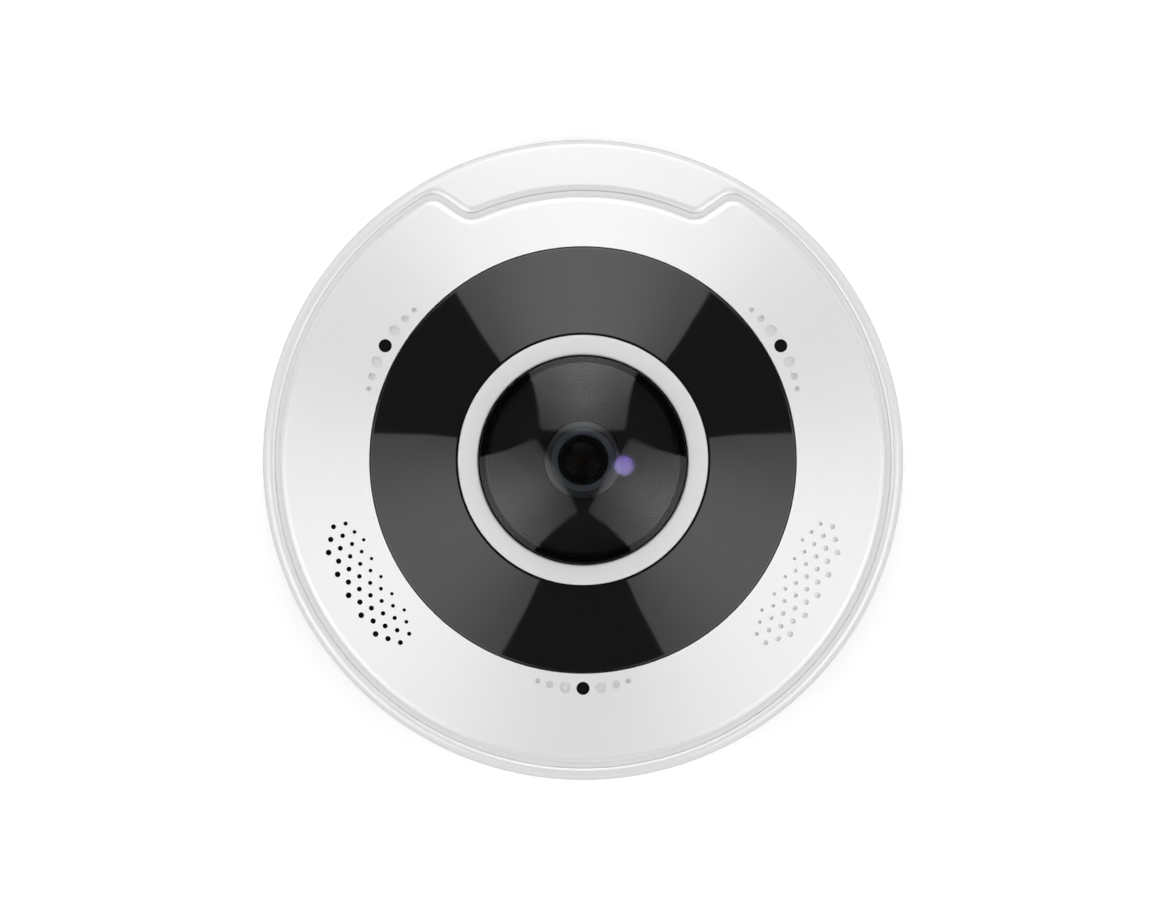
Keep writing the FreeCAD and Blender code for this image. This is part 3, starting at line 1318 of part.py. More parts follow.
def make_chassis():
    """Inner frame on the housing's posts: it carries the lens, lamps, speaker and microphones."""
    holes = [(across, along, S.small_screw + S.fit_gap) for across, along, _ in CHASSIS_POSTS]
    plate = padded("chassis_plate", S.chassis_radius, S.chassis_height, S.chassis_wall, holes)
    low = CHASSIS_TOP - 0.5
    led_post = rod("led_post", 3.0, low, S.led_board_height - low)
    led_posts = copies("led_posts", led_post, ring_places(S.led_post_circle, 0, S.mic_count))
    mic_top = cover_height(S.mic_circle) - S.cover_wall - S.part_gap - S.boot_height
    mic_post = rod("mic_post", S.boot_radius + 0.4, low, mic_top - low)
    mic_posts = copies("mic_posts", mic_post, ring_places(S.mic_circle, S.mic_start, S.mic_count))
    pad = rod("sensor_pad", 3.0, low, SENSOR_BOARD - low)
    pads = copies("sensor_pads", pad, ring_places(S.sensor_screw_circle, 45, 4))
    rim = revolved("speaker_rim", [
        (S.speaker_radius + 0.15, low),
        (S.speaker_radius + 1.2, low),
        (S.speaker_radius + 1.2, CHASSIS_TOP + 2),
        (S.speaker_radius + 0.15, CHASSIS_TOP + 2),
    ])
    place(rim, SPEAKER_X, SPEAKER_Y, 0)
    solid = fused("chassis_solid", [plate, led_posts, mic_posts, pads, rim])
    column_room = rod("column_room", S.column_radius + 0.7, S.chassis_height - 1, 4)
    access = block("access_window", 24, 36, 6, S.card_place + 4, 3, S.chassis_height - 1)
    cable = block("cable_window", 6, 16, 6, -22, 0, S.chassis_height - 1)
    vent = revolved("chassis_vent", [
        (36, S.chassis_height - 1),
        (43, S.chassis_height - 1),
        (43, CHASSIS_TOP + 1),
        (36, CHASSIS_TOP + 1),
    ], 40)
    vents = copies("chassis_vents", vent, [(0, 0, 70), (0, 0, 130), (0, 0, 190), (0, 0, 250), (0, 0, 310)])
    pilot = rod("chassis_small_pilot", S.small_screw + S.fit_gap, SENSOR_BOARD - 5, 6)
    led_pilot = rod("led_pilot", S.small_screw + S.fit_gap, S.led_board_height - 5, 6)
    tools = [
        copies("column_rooms", column_room, ring_places(S.column_circle, S.column_start, S.column_count)),
        access,
        cable,
        vents,
        copies("sensor_pilots", pilot, ring_places(S.sensor_screw_circle, 45, 4)),
        copies("led_pilots", led_pilot, ring_places(S.led_post_circle, 0, S.mic_count)),
    ]
    keep(cut_away("chassis_cut", solid, tools), "chassis")
    fastener = screw("chassis_screw", S.small_screw, S.small_head, S.head_height, 8)
    place(fastener, 0, 0, CHASSIS_TOP)
    keep(copies("chassis_screw_group", fastener, CHASSIS_POSTS), "chassis_screws")


def make_sensor_board():
    """Board behind the lens with the image sensor and the flat cable to the main board."""
    places = ring_places(S.sensor_screw_circle, 45, 4)
    holes = [(across, along, S.small_screw + S.fit_gap) for across, along, _ in places]
    side = S.sensor_board_side
    board = padded("sensor_board_body", rectangle(side, side), SENSOR_BOARD, S.board_thickness, holes)
    keep(board, "sensor_board")
    fastener = screw("sensor_screw", S.small_screw, S.small_head, S.head_height, 5)
    place(fastener, 0, 0, SENSOR_BOARD_TOP)
    keep(copies("sensor_screw_group", fastener, places), "sensor_screws")
    chip = block("sensor_chip", S.sensor_width, S.sensor_depth, S.sensor_height, 0, 0, SENSOR_BOARD_TOP)
    keep(chip, "image_sensor")
    foil = as_size(0.3)
    low = MAIN_BOARD_TOP
    high = SENSOR_BOARD - foil
    body = DOC.addObject("PartDesign::Body", "cable_body")
    sketch = sketch_in(body, "XZ_Plane", -6)
    draw_outline(sketch, [
        (-10, high),
        (-10, high + foil),
        (-21, high + foil),
        (-21 - foil * 4, high - foil * 3, foil * 4),
        (-21 - foil * 4, low + foil),
        (-30, low + foil),
        (-30, low),
        (-21 - foil * 3, low),
        (-21 - foil * 3, high - foil * 3),
        (-21, high, -foil * 3),
    ])
    pad = body.newObject("PartDesign::Pad", "cable_pad")
    pad.Profile = sketch
    pad.Length = 12
    keep(body, "sensor_cable")


def make_led_board():
    """Lamp board on the chassis posts with infrared lamps, their lenses and the light sensor."""
    places = ring_places(S.led_post_circle, 0, S.mic_count)
    holes = [(across, along, S.small_screw + S.fit_gap) for across, along, _ in places]
    holes.append((0, 0, S.led_board_inner))
    board = padded("led_board_body", S.led_board_outer, S.led_board_height, S.board_thickness, holes)
    keep(board, "led_board")
    fastener = screw("led_screw", S.small_screw, S.small_head, S.head_height, 5)
    place(fastener, 0, 0, LED_BOARD_TOP)
    keep(copies("led_screw_group", fastener, places), "led_screws")
    spots = ring_places(S.led_circle, S.stud_start, S.stud_count)
    lamp = block("lamp_body", S.led_side, S.led_side, S.led_height, 0, 0, LED_BOARD_TOP)
    keep(copies("lamp_group", lamp, spots), "ir_leds")
    seat = LED_BOARD_TOP + 0.02
    wall = S.led_side * 0.72 + 0.3
    lens = revolved("lamp_lens", [
        (wall, seat),
        (S.led_lens_radius, seat),
        (S.led_lens_radius, seat + S.led_lens_height * 0.55),
        (0, seat + S.led_lens_height, cap_radius(S.led_lens_radius, S.led_lens_height * 0.45)),
        (0, seat + S.led_height + 0.5),
        (wall, seat + S.led_height + 0.2),
    ])
    keep(copies("lamp_lens_group", lens, spots), "led_lenses")
    eye_x, eye_y = polar(S.led_circle, as_size(270))
    eye = block("light_sensor_body", 3.2, 2.4, 1.1, eye_x, eye_y, LED_BOARD_TOP)
    keep(eye, "light_sensor")


# Sound


def make_speaker():
    """Speaker under the open grille: basket, magnet, cone, rubber duct and grille mesh."""
    bottom = CHASSIS_TOP
    top = bottom + S.speaker_height
    wall = as_size(0.9)
    edge = S.speaker_radius
    neck = S.speaker_radius * 0.62
    basket = revolved("basket_body", [
        (neck, bottom),
        (neck + wall, bottom),
        (neck + wall, bottom + 2.2),
        (edge, bottom + 3.4),
        (edge, top),
        (edge - wall, top),
        (edge - wall, bottom + 3.8),
        (neck, bottom + 2.8),
    ])
    place(basket, SPEAKER_X, SPEAKER_Y, 0)
    keep(basket, "speaker_basket")
    magnet = revolved("magnet_body", [
        (0, bottom + 0.02),
        (neck - 0.05, bottom + 0.02),
        (neck - 0.05, bottom + 2.4),
        (3.4, bottom + 2.4),
        (3.4, bottom + 1),
        (2.4, bottom + 1),
        (2.4, bottom + 2.4),
        (0, bottom + 2.4),
    ])
    place(magnet, SPEAKER_X, SPEAKER_Y, 0)
    keep(magnet, "speaker_magnet")
    rise = S.cone_travel + S.part_gap
    cone_low = bottom + 2.4 + rise
    cone = revolved("cone_body", [
        (2.75, bottom + 1.3 + S.cone_travel),
        (3.05, bottom + 1.3 + S.cone_travel),
        (3.05, cone_low + 0.3),
        (edge - wall - 1.6, top - rise - 0.9),
        (edge - wall - 0.35, top - rise - 0.9),
        (edge - wall - 0.35, top - rise - 0.6),
        (edge - wall - 1.7, top - rise - 0.6),
        (3.0, cone_low + 0.7),
        (0, cone_low + 1.5, cap_radius(as_size(3.0), as_size(0.8))),
        (0, cone_low + 1.2),
        (2.75, cone_low + 0.45, -cap_radius(as_size(2.75), as_size(0.75))),
    ])
    place(cone, SPEAKER_X, SPEAKER_Y, 0)
    keep(cone, "speaker_cone")
    duct_top = cover_height(S.speaker_circle + S.speaker_radius) - S.cover_wall - S.part_gap - 0.6
    duct = revolved("duct_body", [
        (edge - wall * 1.4, top + 0.02),
        (edge, top + 0.02),
        (edge, duct_top),
        (edge - wall * 1.4, duct_top),
    ])
    place(duct, SPEAKER_X, SPEAKER_Y, 0)
    keep(duct, "speaker_gasket")
    under = cover_blank("mesh_under", S.cover_wall + 0.05, S.ledge_height)
    deeper = cover_blank("mesh_deeper", S.cover_wall + 0.4, S.ledge_height - 1)
    patch = revolved("mesh_patch", [
        (S.grille_radius - 1.5, S.ledge_height),
        (S.grille_radius + S.grille_pitch * 6 + 1.5, S.ledge_height),
        (S.grille_radius + S.grille_pitch * 6 + 1.5, ABOVE),
        (S.grille_radius - 1.5, ABOVE),
    ], S.grille_step * 7)
    place(patch, 0, 0, 0, S.grille_angle - S.grille_step * 3.5)
    keep(cut_away("mesh_cut", shared("mesh_layer", under, patch), deeper), "grille_mesh")


def make_microphones():
    """Three microphone capsules in rubber boots behind the cover's holes."""
    places = ring_places(S.mic_circle, S.mic_start, S.mic_count)
    boot_top = cover_height(S.mic_circle) - S.cover_wall - S.part_gap
    neck_top = boot_top - S.mic_hole * tangent(S.cover_slope)
    boot_top = LIP_BOTTOM - S.part_gap
    boot_bottom = cover_height(S.mic_circle) - S.cover_wall - S.part_gap - S.boot_height
    boot = revolved("boot_body", [
        (0, boot_bottom + 0.02),
        (S.boot_radius, boot_bottom + 0.02),
        (S.boot_radius, boot_top - 0.4),
        (S.boot_radius - 0.4, boot_top),
        (S.mic_hole, boot_top),
        (S.mic_hole, neck_top),
        (0.8, neck_top),
        (0.8, boot_top - 1),
        (S.mic_radius + 0.05, boot_top - 1),
        (S.mic_radius + 0.05, boot_bottom + 1.2),
        (0, boot_bottom + 1.2),
    ])
    keep(copies("boot_group", boot, places), "microphone_boots")
    capsule_bottom = boot_bottom + 1.25
    capsule_top = boot_top - 1.05
    capsule = revolved("capsule_body", [
        (0, capsule_bottom),
        (S.mic_radius, capsule_bottom),
        (S.mic_radius, capsule_top),
        (0.5, capsule_top),
        (0.5, capsule_top - 0.4),
        (0, capsule_top - 0.4),
    ])
    keep(copies("capsule_group", capsule, places), "microphones")


def check_and_write():
    """Stop on any failed object, then write one file for each node."""
    for thing in DOC.Objects:
        if "Invalid" in thing.State or "Error" in thing.State:
            raise RuntimeError(f"{thing.Label} failed: {thing.State}")
    for node in NODES:
        if node.Shape.isNull() or not node.Shape.isValid():
            raise RuntimeError(f"{node.Label} has no valid shape")
    os.makedirs("parts", exist_ok=True)
    for node in NODES:
        node.Shape.exportStep(f"parts/{node.Label}.step")


fill_sheet()
make_mounting_plate()
make_bayonet_studs()
make_lock_screw()
make_rear_housing()
make_cable_gland()
make_case_seal()
make_case_screws()
make_front_shell()
make_window()
make_dome()
make_window_carrier()
make_lens()
make_lens_shroud()
make_lens_holder()
make_filter()
make_main_board()
make_main_chip()
make_board_parts()
make_card()
make_chassis()
make_sensor_board()
make_led_board()
make_speaker()
make_microphones()
DOC.recompute()
check_and_write()
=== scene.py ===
"""Looks of a white fisheye ceiling camera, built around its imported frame.

The frame holds the rigid pieces at their real size and place. This script gives every piece its finish,
models the fine pieces that a camera of this kind has beside them, and sets up the studio: a pale floor,
three soft panels of light and a camera that looks straight at the lens.

Fields hold millimetres and degrees where they name no other unit, and colours as sRGB hex values.
"""

import json
import logging
import math
from dataclasses import dataclass
from enum import Enum
from typing import Any, ClassVar

import bpy
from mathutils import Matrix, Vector

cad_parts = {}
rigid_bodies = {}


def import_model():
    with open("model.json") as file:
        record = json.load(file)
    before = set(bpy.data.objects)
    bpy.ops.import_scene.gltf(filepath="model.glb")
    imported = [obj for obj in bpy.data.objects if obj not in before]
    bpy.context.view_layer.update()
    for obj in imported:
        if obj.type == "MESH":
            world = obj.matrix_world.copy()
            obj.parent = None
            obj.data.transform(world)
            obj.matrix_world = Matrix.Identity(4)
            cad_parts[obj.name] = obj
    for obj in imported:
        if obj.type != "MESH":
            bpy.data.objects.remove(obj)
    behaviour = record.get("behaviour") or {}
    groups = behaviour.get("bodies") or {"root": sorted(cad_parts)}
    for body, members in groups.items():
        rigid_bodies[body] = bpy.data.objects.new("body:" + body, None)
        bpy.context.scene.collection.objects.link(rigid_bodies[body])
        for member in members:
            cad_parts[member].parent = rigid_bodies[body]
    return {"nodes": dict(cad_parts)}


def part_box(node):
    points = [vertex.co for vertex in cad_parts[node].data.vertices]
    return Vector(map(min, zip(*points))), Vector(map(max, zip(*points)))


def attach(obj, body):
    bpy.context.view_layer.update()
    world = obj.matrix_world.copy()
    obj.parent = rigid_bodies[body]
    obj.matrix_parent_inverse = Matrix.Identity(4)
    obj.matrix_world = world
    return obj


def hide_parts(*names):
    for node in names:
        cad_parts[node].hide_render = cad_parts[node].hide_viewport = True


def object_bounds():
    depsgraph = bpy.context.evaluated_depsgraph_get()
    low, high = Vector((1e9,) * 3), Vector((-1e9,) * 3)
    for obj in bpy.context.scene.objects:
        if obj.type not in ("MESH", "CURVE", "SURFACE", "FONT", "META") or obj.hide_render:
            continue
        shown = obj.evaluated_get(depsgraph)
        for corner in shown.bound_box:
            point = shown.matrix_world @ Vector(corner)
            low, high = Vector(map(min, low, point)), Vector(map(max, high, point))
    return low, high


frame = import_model()
CAD_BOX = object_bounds()

LOG = logging.getLogger("fisheye_camera")
MM = 0.001
UP = (0, 0, 1)
CENTRE = (0, 0, 0)
EDGE_ANGLE = math.radians(30)  # an edge sharper than this is rounded
SMOOTH_ANGLE = math.radians(35)  # an edge sharper than this stays hard in the shading
SAME_POINT = 1e-7  # reach of one point in a new piece, in metres
SAME_CORNER = 1e-6  # the same in a piece copied from the frame

Node = bpy.types.Node
Socket = bpy.types.NodeSocket
Piece = bpy.types.Object
Pair = tuple[float, float]
Triple = tuple[float, float, float]


def linear(hex_colour: str) -> tuple[float, float, float, float]:
    """Turn an sRGB hex colour to the linear values that a shader socket takes.

    Args:
        hex_colour: Six hex digits with a leading hash.

    Returns:
        Red, green, blue and full alpha, linear.
    """
    channels = []
    for start in (1, 3, 5):
        value = int(hex_colour[start:start + 2], 16) / 255
        channels.append(value / 12.92 if value <= 0.04045 else ((value + 0.055) / 1.055) ** 2.4)
    return (*channels, 1.0)


@dataclass
class Graph:
    """A node tree that is filled in."""

    tree: bpy.types.NodeTree

    def add(self, kind: str, inputs: dict | None = None, **settings: Any) -> Node:
        """Add one shader node with its settings and what goes into it.

        Args:
            kind: The node's type, without the word ShaderNode before it.
            inputs: A value, or a socket to link from, for each input by name or number.
            settings: Properties of the node itself.

        Returns:
            The new node.
        """
        node = self.tree.nodes.new(f"ShaderNode{kind}")
        for name, value in settings.items():
            setattr(node, name, value)
        self.plug(node, inputs or {})
        return node

    def plug(self, node: Node, inputs: dict) -> None:
        """Set the inputs of a node.

        Args:
            node: The node.
            inputs: A value, or a socket to link from, for each input by name or number.
        """
        for name, value in inputs.items():
            if isinstance(value, Socket):
                self.tree.links.new(value, node.inputs[name])
            else:
                node.inputs[name].default_value = value

    def maths(self, operation: str, *values: float | Socket) -> Socket:
        """Work out a number from one or two others."""
        return self.add("Math", dict(enumerate(values)), operation=operation).outputs[0]

    def vectors(self, operation: str, *values: Triple | Socket) -> Socket:
        """Work out a number from one or two vectors."""
        return self.add("VectorMath", dict(enumerate(values)), operation=operation).outputs["Value"]

    def spread(self, value: Socket, low: float, high: float, span: Pair = (0.0, 1.0),
               soft: bool = False) -> Socket:
        """Spread a value over a range.

        Args:
            value: The value to spread.
            low: The result at the span's start.
            high: The result at the span's end.
            span: What the value runs from and to.
            soft: Whether it starts and ends slowly.

        Returns:
            The spread value.
        """
        return self.add("MapRange", {
            "Value": value, "From Min": span[0], "From Max": span[1], "To Min": low, "To Max": high,
        }, interpolation_type="SMOOTHSTEP" if soft else "LINEAR").outputs["Result"]

    def two_tone(self, amount: Socket, *tones: str | Socket) -> Socket:
        """Mix two colours by an amount.

        Args:
            amount: 0 for the first colour and 1 for the second.
            tones: Both colours, each as an sRGB hex value or a socket.

        Returns:
            The mixed colour.
        """
        first, second = (linear(tone) if isinstance(tone, str) else tone for tone in tones)
        return self.add("Mix", {0: amount, 6: first, 7: second}, data_type="RGBA").outputs[2]


@dataclass
class Skin(Graph):
    """The nodes of one material."""

    shader: Node  # the material's shader
    place: Socket  # coordinates that keep to the object

    def feed(self, inputs: dict) -> None:
        """Set inputs of the shader by name."""
        self.plug(self.shader, inputs)

    def speckle(self, size_mm: float, detail: float = 2.0, place: Socket | None = None) -> Socket:
        """Add cloudy noise of a real size.

        Args:
            size_mm: The size of one cloud, in millimetres.
            detail: How many finer layers it has.
            place: Other coordinates that it reads.

        Returns:
            The noise, from 0 to 1.
        """
        return self.add("TexNoise", {
            "Vector": place or self.place, "Scale": 1 / (size_mm * MM), "Detail": detail, "Roughness": 0.55,
        }).outputs["Fac"]

    def cells(self, size_mm: float, **inputs: float) -> Node:
        """Add a pattern of cells, each of about a real size in millimetres."""
        return self.add("TexVoronoi", {"Vector": self.place, "Scale": 1 / (size_mm * MM), **inputs})

    def lines(self, pitch_mm: float, direction: str) -> Socket:
        """Add even lines across an axis, a pitch apart."""
        return self.add("TexWave", {"Vector": self.place, "Scale": 2 / (pitch_mm * MM * math.tau)},
                        wave_type="BANDS", bands_direction=direction).outputs["Fac"]

    def relief(self, height: Socket, depth_mm: float) -> None:
        """Raise the surface by a height pattern.

        Args:
            height: The pattern, from 0 to 1.
            depth_mm: The height of the relief, in millimetres.
        """
        bump = self.add("Bump", {"Height": height, "Distance": depth_mm * MM, "Strength": 1.0})
        self.feed({"Normal": bump.outputs["Normal"]})


class Grain(Enum):
    """How the skin of a moulded or coated surface was made."""

    POLISHED = "polished tool"
    SPARK = "spark-eroded tool"
    ORANGE_PEEL = "sprayed powder"


@dataclass(frozen=True)
class Finish:
    """What every finish has: a name, a colour and a gloss."""

    name: str
    colour: str
    roughness: float
    ior: float = 1.5
    specular: float = 0.5  # strength of the reflection, where 0.5 is what the index of refraction gives
    uneven: float = 0.1  # share by which the roughness goes up and down
    relief_mm: float = 0.02  # height of the surface's relief

    def material(self) -> bpy.types.Material:
        """Return the material, and make it the first time.

        Returns:
            The material with this finish.
        """
        made = bpy.data.materials.get(self.name)
        if made is None:
            made = bpy.data.materials.new(self.name)
            made.use_nodes = True
            tree = made.node_tree
            place = Graph(tree).add("TexCoord").outputs["Object"]
            skin = Skin(tree, tree.nodes["Principled BSDF"], place)
            skin.feed({"Base Color": linear(self.colour), "Roughness": self.roughness, "IOR": self.ior,
                       "Specular IOR Level": self.specular})
            self.dress(skin)
        return made

    def dress(self, skin: Skin) -> None:
        """Add the pattern of this finish to the plain shader."""

    def gloss(self, skin: Skin, amount: Socket) -> Socket:
        """Return the roughness, made uneven by an amount from 0 to 1."""
        return skin.spread(amount, self.roughness * (1 - self.uneven), self.roughness * (1 + self.uneven))


Wardrobe = dict[Finish, tuple[str, ...]]


@dataclass(frozen=True)
class MouldedPlastic(Finish):
    """Injection-moulded plastic: even colour, a fine skin from the tool, and a faint cloudiness."""

    shade: str = "#808080"  # the darker tone of the cloudiness
    grain: Grain = Grain.SPARK
    gloss_coat: float = 0.0  # share of a thin clear lacquer over it
    coat_roughness: float = 0.3
    coat_ior: float = 1.5
    cloud_mm: float = 18.0

    # Size and height of each grain.
    GRAINS: ClassVar[dict[Grain, Pair]] = {
        Grain.POLISHED: (7.0, 0.002),
        Grain.SPARK: (0.45, 0.012),
        Grain.ORANGE_PEEL: (1.6, 0.02),
    }

    def dress(self, skin: Skin) -> None:
        """Add the cloudiness, the grain and the lacquer.

        Args:
            skin: The nodes of the material.
        """
        clouds = skin.speckle(self.cloud_mm)
        size, depth = self.GRAINS[self.grain]
        grain = skin.speckle(size)
        skin.relief(grain, depth)
        skin.feed({
            "Base Color": skin.two_tone(clouds, self.colour, self.shade),
            "Roughness": self.gloss(skin, grain),
            "Coat Weight": self.gloss_coat,
            "Coat Roughness": self.coat_roughness,
            "Coat IOR": self.coat_ior,
        })


@dataclass(frozen=True)
class PlatedMetal(Finish):
    """Plated, rolled or drawn metal: a metal's own reflection, with crystals and fine rolling lines."""

    tarnish: str = "#909090"  # the duller tone
    crystal_mm: float = 2.5
    line_mm: float = 0.25
    uneven: float = 0.25
    relief_mm: float = 0.004
    line_scale: Triple = (1.0, 0.04, 1.0)  # how the rolling lines are drawn out along Y

    def dress(self, skin: Skin) -> None:
        """Add the crystals and the rolling lines.

        Args:
            skin: The nodes of the material.
        """
        crystals = skin.cells(self.crystal_mm).outputs["Color"]
        tone = skin.add("SeparateColor", {"Color": crystals}).outputs["Red"]
        along = skin.add("Mapping", {"Vector": skin.place, "Scale": self.line_scale}).outputs["Vector"]
        rolled = skin.speckle(self.line_mm, place=along)
        skin.relief(rolled, self.relief_mm)
        skin.feed({"Metallic": 1.0, "Base Color": skin.two_tone(tone, self.colour, self.tarnish),
                   "Roughness": self.gloss(skin, rolled)})


@dataclass(frozen=True)
class TurnedMetal(Finish):
    """Metal turned on a lathe about the lens axis: fine rings that the cutting tool left."""

    metallic: float = 1.0  # how far it reflects as a bare metal does
    ring_mm: float = 0.3  # distance between the tool's rings
    uneven: float = 0.2
    relief_mm: float = 0.006
    wander: float = 0.4  # how far the rings stray from even

    def dress(self, skin: Skin) -> None:
        """Add the tool's rings about the axis.

        Args:
            skin: The nodes of the material.
        """
        scale = 1 / (self.ring_mm * MM * math.tau)
        rings = skin.add("TexWave", {"Vector": skin.place, "Scale": scale, "Distortion": self.wander},
                         wave_type="RINGS", rings_direction="Z").outputs["Fac"]
        skin.relief(rings, self.relief_mm)
        skin.feed({"Metallic": self.metallic, "Roughness": self.gloss(skin, rings)})


@dataclass(frozen=True)
class SmokedWindow(Finish):
    """Moulded infrared window: near black to the eye, polished, with the slow ripple of a moulded sheet."""

    uneven: float = 0.4
    relief_mm: float = 0.0008
    ripple_mm: float = 9.0
    dust_mm: float = 0.5

    def dress(self, skin: Skin) -> None:
        """Add the slow ripple and a trace of dust in the gloss.

        Args:
            skin: The nodes of the material.
        """
        skin.relief(skin.speckle(self.ripple_mm, detail=0.0), self.relief_mm)
        skin.feed({"Roughness": self.gloss(skin, skin.speckle(self.dust_mm, detail=4.0))})


@dataclass(frozen=True)
class ClearMoulding(Finish):
    """Clear polycarbonate or glass, with or without a thin coating that colours its reflection."""

    film_nm: float = 0.0  # thickness of the coating, in nanometres, or 0 for none
    film_ior: float = 1.38
    tint: str = "#F4F8FA"  # the deeper tone of the clear material
    mirrored: str = "#FFFFFF"  # what the coatings leave of a reflection
    flow_mm: float = 12.0

    def dress(self, skin: Skin) -> None:
        """Make it clear, and add the coating and the faint flow marks of the melt.

        Args:
            skin: The nodes of the material.
        """
        skin.feed({
            "Transmission Weight": 1.0,
            "Thin Film Thickness": self.film_nm,
            "Thin Film IOR": self.film_ior,
            "Specular Tint": linear(self.mirrored),
            "Base Color": skin.two_tone(skin.speckle(self.flow_mm), self.colour, self.tint),
        })


@dataclass(frozen=True)
class SoftRubber(Finish):
    """Moulded rubber or silicone: dull, with a dusty bloom and a soft leathery skin."""

    bloom: str = "#303030"  # the paler tone of the dusty bloom
    bloom_mm: float = 5.0
    leather_mm: float = 0.6

    def dress(self, skin: Skin) -> None:
        """Add the bloom and the skin.

        Args:
            skin: The nodes of the material.
        """
        dusty = skin.speckle(self.bloom_mm, detail=5.0)
        skin.feed({"Base Color": skin.two_tone(dusty, self.colour, self.bloom)})
        skin.relief(skin.speckle(self.leather_mm), self.relief_mm)


@dataclass(frozen=True)
class SolderMask(Finish):
    """Glass-fibre board under solder mask: copper tracks show as paler lines, with tinned dots between."""

    track: str = "#2E7A4A"  # the colour over copper
    dot: str = "#C9C6B8"  # the colour of a tinned dot
    pitch_mm: float = 1.27  # distance between tracks
    relief_mm: float = 0.03
    track_mm: float = 0.16
    block: float = 5.5  # distance between cross tracks, in pitches
    spacing: float = 1.7  # distance between dots, in pitches
    dot_share: float = 0.11  # radius of a dot, as a share of that distance

    def dress(self, skin: Skin) -> None:
        """Add the tracks and the dots.

        Args:
            skin: The nodes of the material.
        """
        tracks = skin.add("TexBrick", {
            "Vector": skin.place, "Color1": (0, 0, 0, 1), "Color2": (0, 0, 0, 1), "Mortar": (1, 1, 1, 1),
            "Scale": 1.0, "Mortar Size": self.track_mm * MM, "Mortar Smooth": 0.1,
            "Brick Width": self.pitch_mm * self.block * MM, "Row Height": self.pitch_mm * MM,
        }).outputs["Fac"]
        cells = skin.cells(self.pitch_mm * self.spacing, Randomness=0.6)
        dots = skin.maths("LESS_THAN", cells.outputs["Distance"], self.dot_share)
        mask = skin.two_tone(tracks, self.colour, self.track)
        skin.feed({"Base Color": skin.two_tone(dots, mask, self.dot)})
        skin.relief(tracks, self.relief_mm)


@dataclass(frozen=True)
class FlatCable(Finish):
    """Amber film over copper lines, as on a flat flexible cable."""

    copper: str = "#C98B3C"
    pitch_mm: float = 0.8  # distance between lines
    relief_mm: float = 0.03

    def dress(self, skin: Skin) -> None:
        """Add the copper lines along Y.

        Args:
            skin: The nodes of the material.
        """
        lines = skin.lines(self.pitch_mm, "X")
        skin.feed({"Base Color": skin.two_tone(lines, self.colour, self.copper)})
        skin.relief(lines, self.relief_mm)


@dataclass(frozen=True)
class WovenCloth(Finish):
    """Fine acoustic mesh: two sets of crossing threads, drawn a little coarser than real to show."""

    gap: str = "#020202"  # the colour between threads
    pitch_mm: float = 0.35  # distance between threads
    relief_mm: float = 0.08

    def dress(self, skin: Skin) -> None:
        """Add both sets of threads.

        Args:
            skin: The nodes of the material.
        """
        over = skin.maths("MAXIMUM", skin.lines(self.pitch_mm, "X"), skin.lines(self.pitch_mm, "Y"))
        skin.feed({"Base Color": skin.two_tone(over, self.gap, self.colour)})
        skin.relief(over, self.relief_mm)


# White ABS blend from a spark-eroded tool: a soft sheen that still tells where the panels of light are.
WHITE_SHELL = MouldedPlastic("white_abs_moulded", "#EEEEEE", 0.3, 1.52, 0.9, shade="#EBEBEB", gloss_coat=1.0,
                             coat_roughness=0.2, coat_ior=1.9)
# Powder coat on the cast housing: the same white, with the low ripple of a sprayed and baked skin.
WHITE_POWDER = MouldedPlastic("white_powder_coat", "#EEEEEE", 0.3, 1.5, 0.9, shade="#EAEAEA",
                              grain=Grain.ORANGE_PEEL, gloss_coat=1.0, coat_roughness=0.24, coat_ior=1.9)
# Painted light grey ring: matt, with a visible fine grain.
RING_PAINT = MouldedPlastic("light_grey_paint", "#E4E4E4", 0.55, 1.48, shade="#DCDCDC")
# Infrared-pass polycarbonate: looks like black glass.
BLACK_WINDOW = SmokedWindow("infrared_window", "#131314", 0.03, 1.49, 0.77)
# Hard-coated acrylic dome: clear, with a mirror-like skin that its coating makes dimmer than bare plastic.
CLEAR_DOME = ClearMoulding("hard_coated_dome", "#FFFFFF", 0.0, 1.5, mirrored="#AEAEAE")
# Optical glass with an anti-reflection coating: almost no reflection of its own.
COATED_GLASS = ClearMoulding("coated_optical_glass", "#FFFFFF", 0.0, 1.6, film_nm=109.0, film_ior=1.265,
                             tint="#E8F4EE", mirrored="#5C6670")
# Rear glasses with a simpler coating: dim warm reflections deep in the lens.
INNER_GLASS = ClearMoulding("inner_optical_glass", "#FFF4E4", 0.0, 1.6, film_nm=120.0, film_ior=1.33,
                            tint="#FFF0DC", mirrored="#9C8E7C")
LAMP_LENS = ClearMoulding("clear_acrylic", "#FFFFFF", 0.02, 1.49)
# Cover glass over the image sensor's dark silicon.
SENSOR_GLASS = SmokedWindow("sensor_silicon", "#141C26", 0.06, 1.5)
# Flocked black of the cone round the lens, which swallows stray light.
BLACK_SHROUD = MouldedPlastic("black_anti_flare", "#191919", 0.8, 1.5, 0.06, shade="#171717")
BLACK_PLASTIC = MouldedPlastic("black_abs_textured", "#151516", 0.5, 1.5, shade="#101011")
GREEN_PLASTIC = MouldedPlastic("green_polyamide", "#2C7D46", 0.45, 1.53, shade="#256B3B")
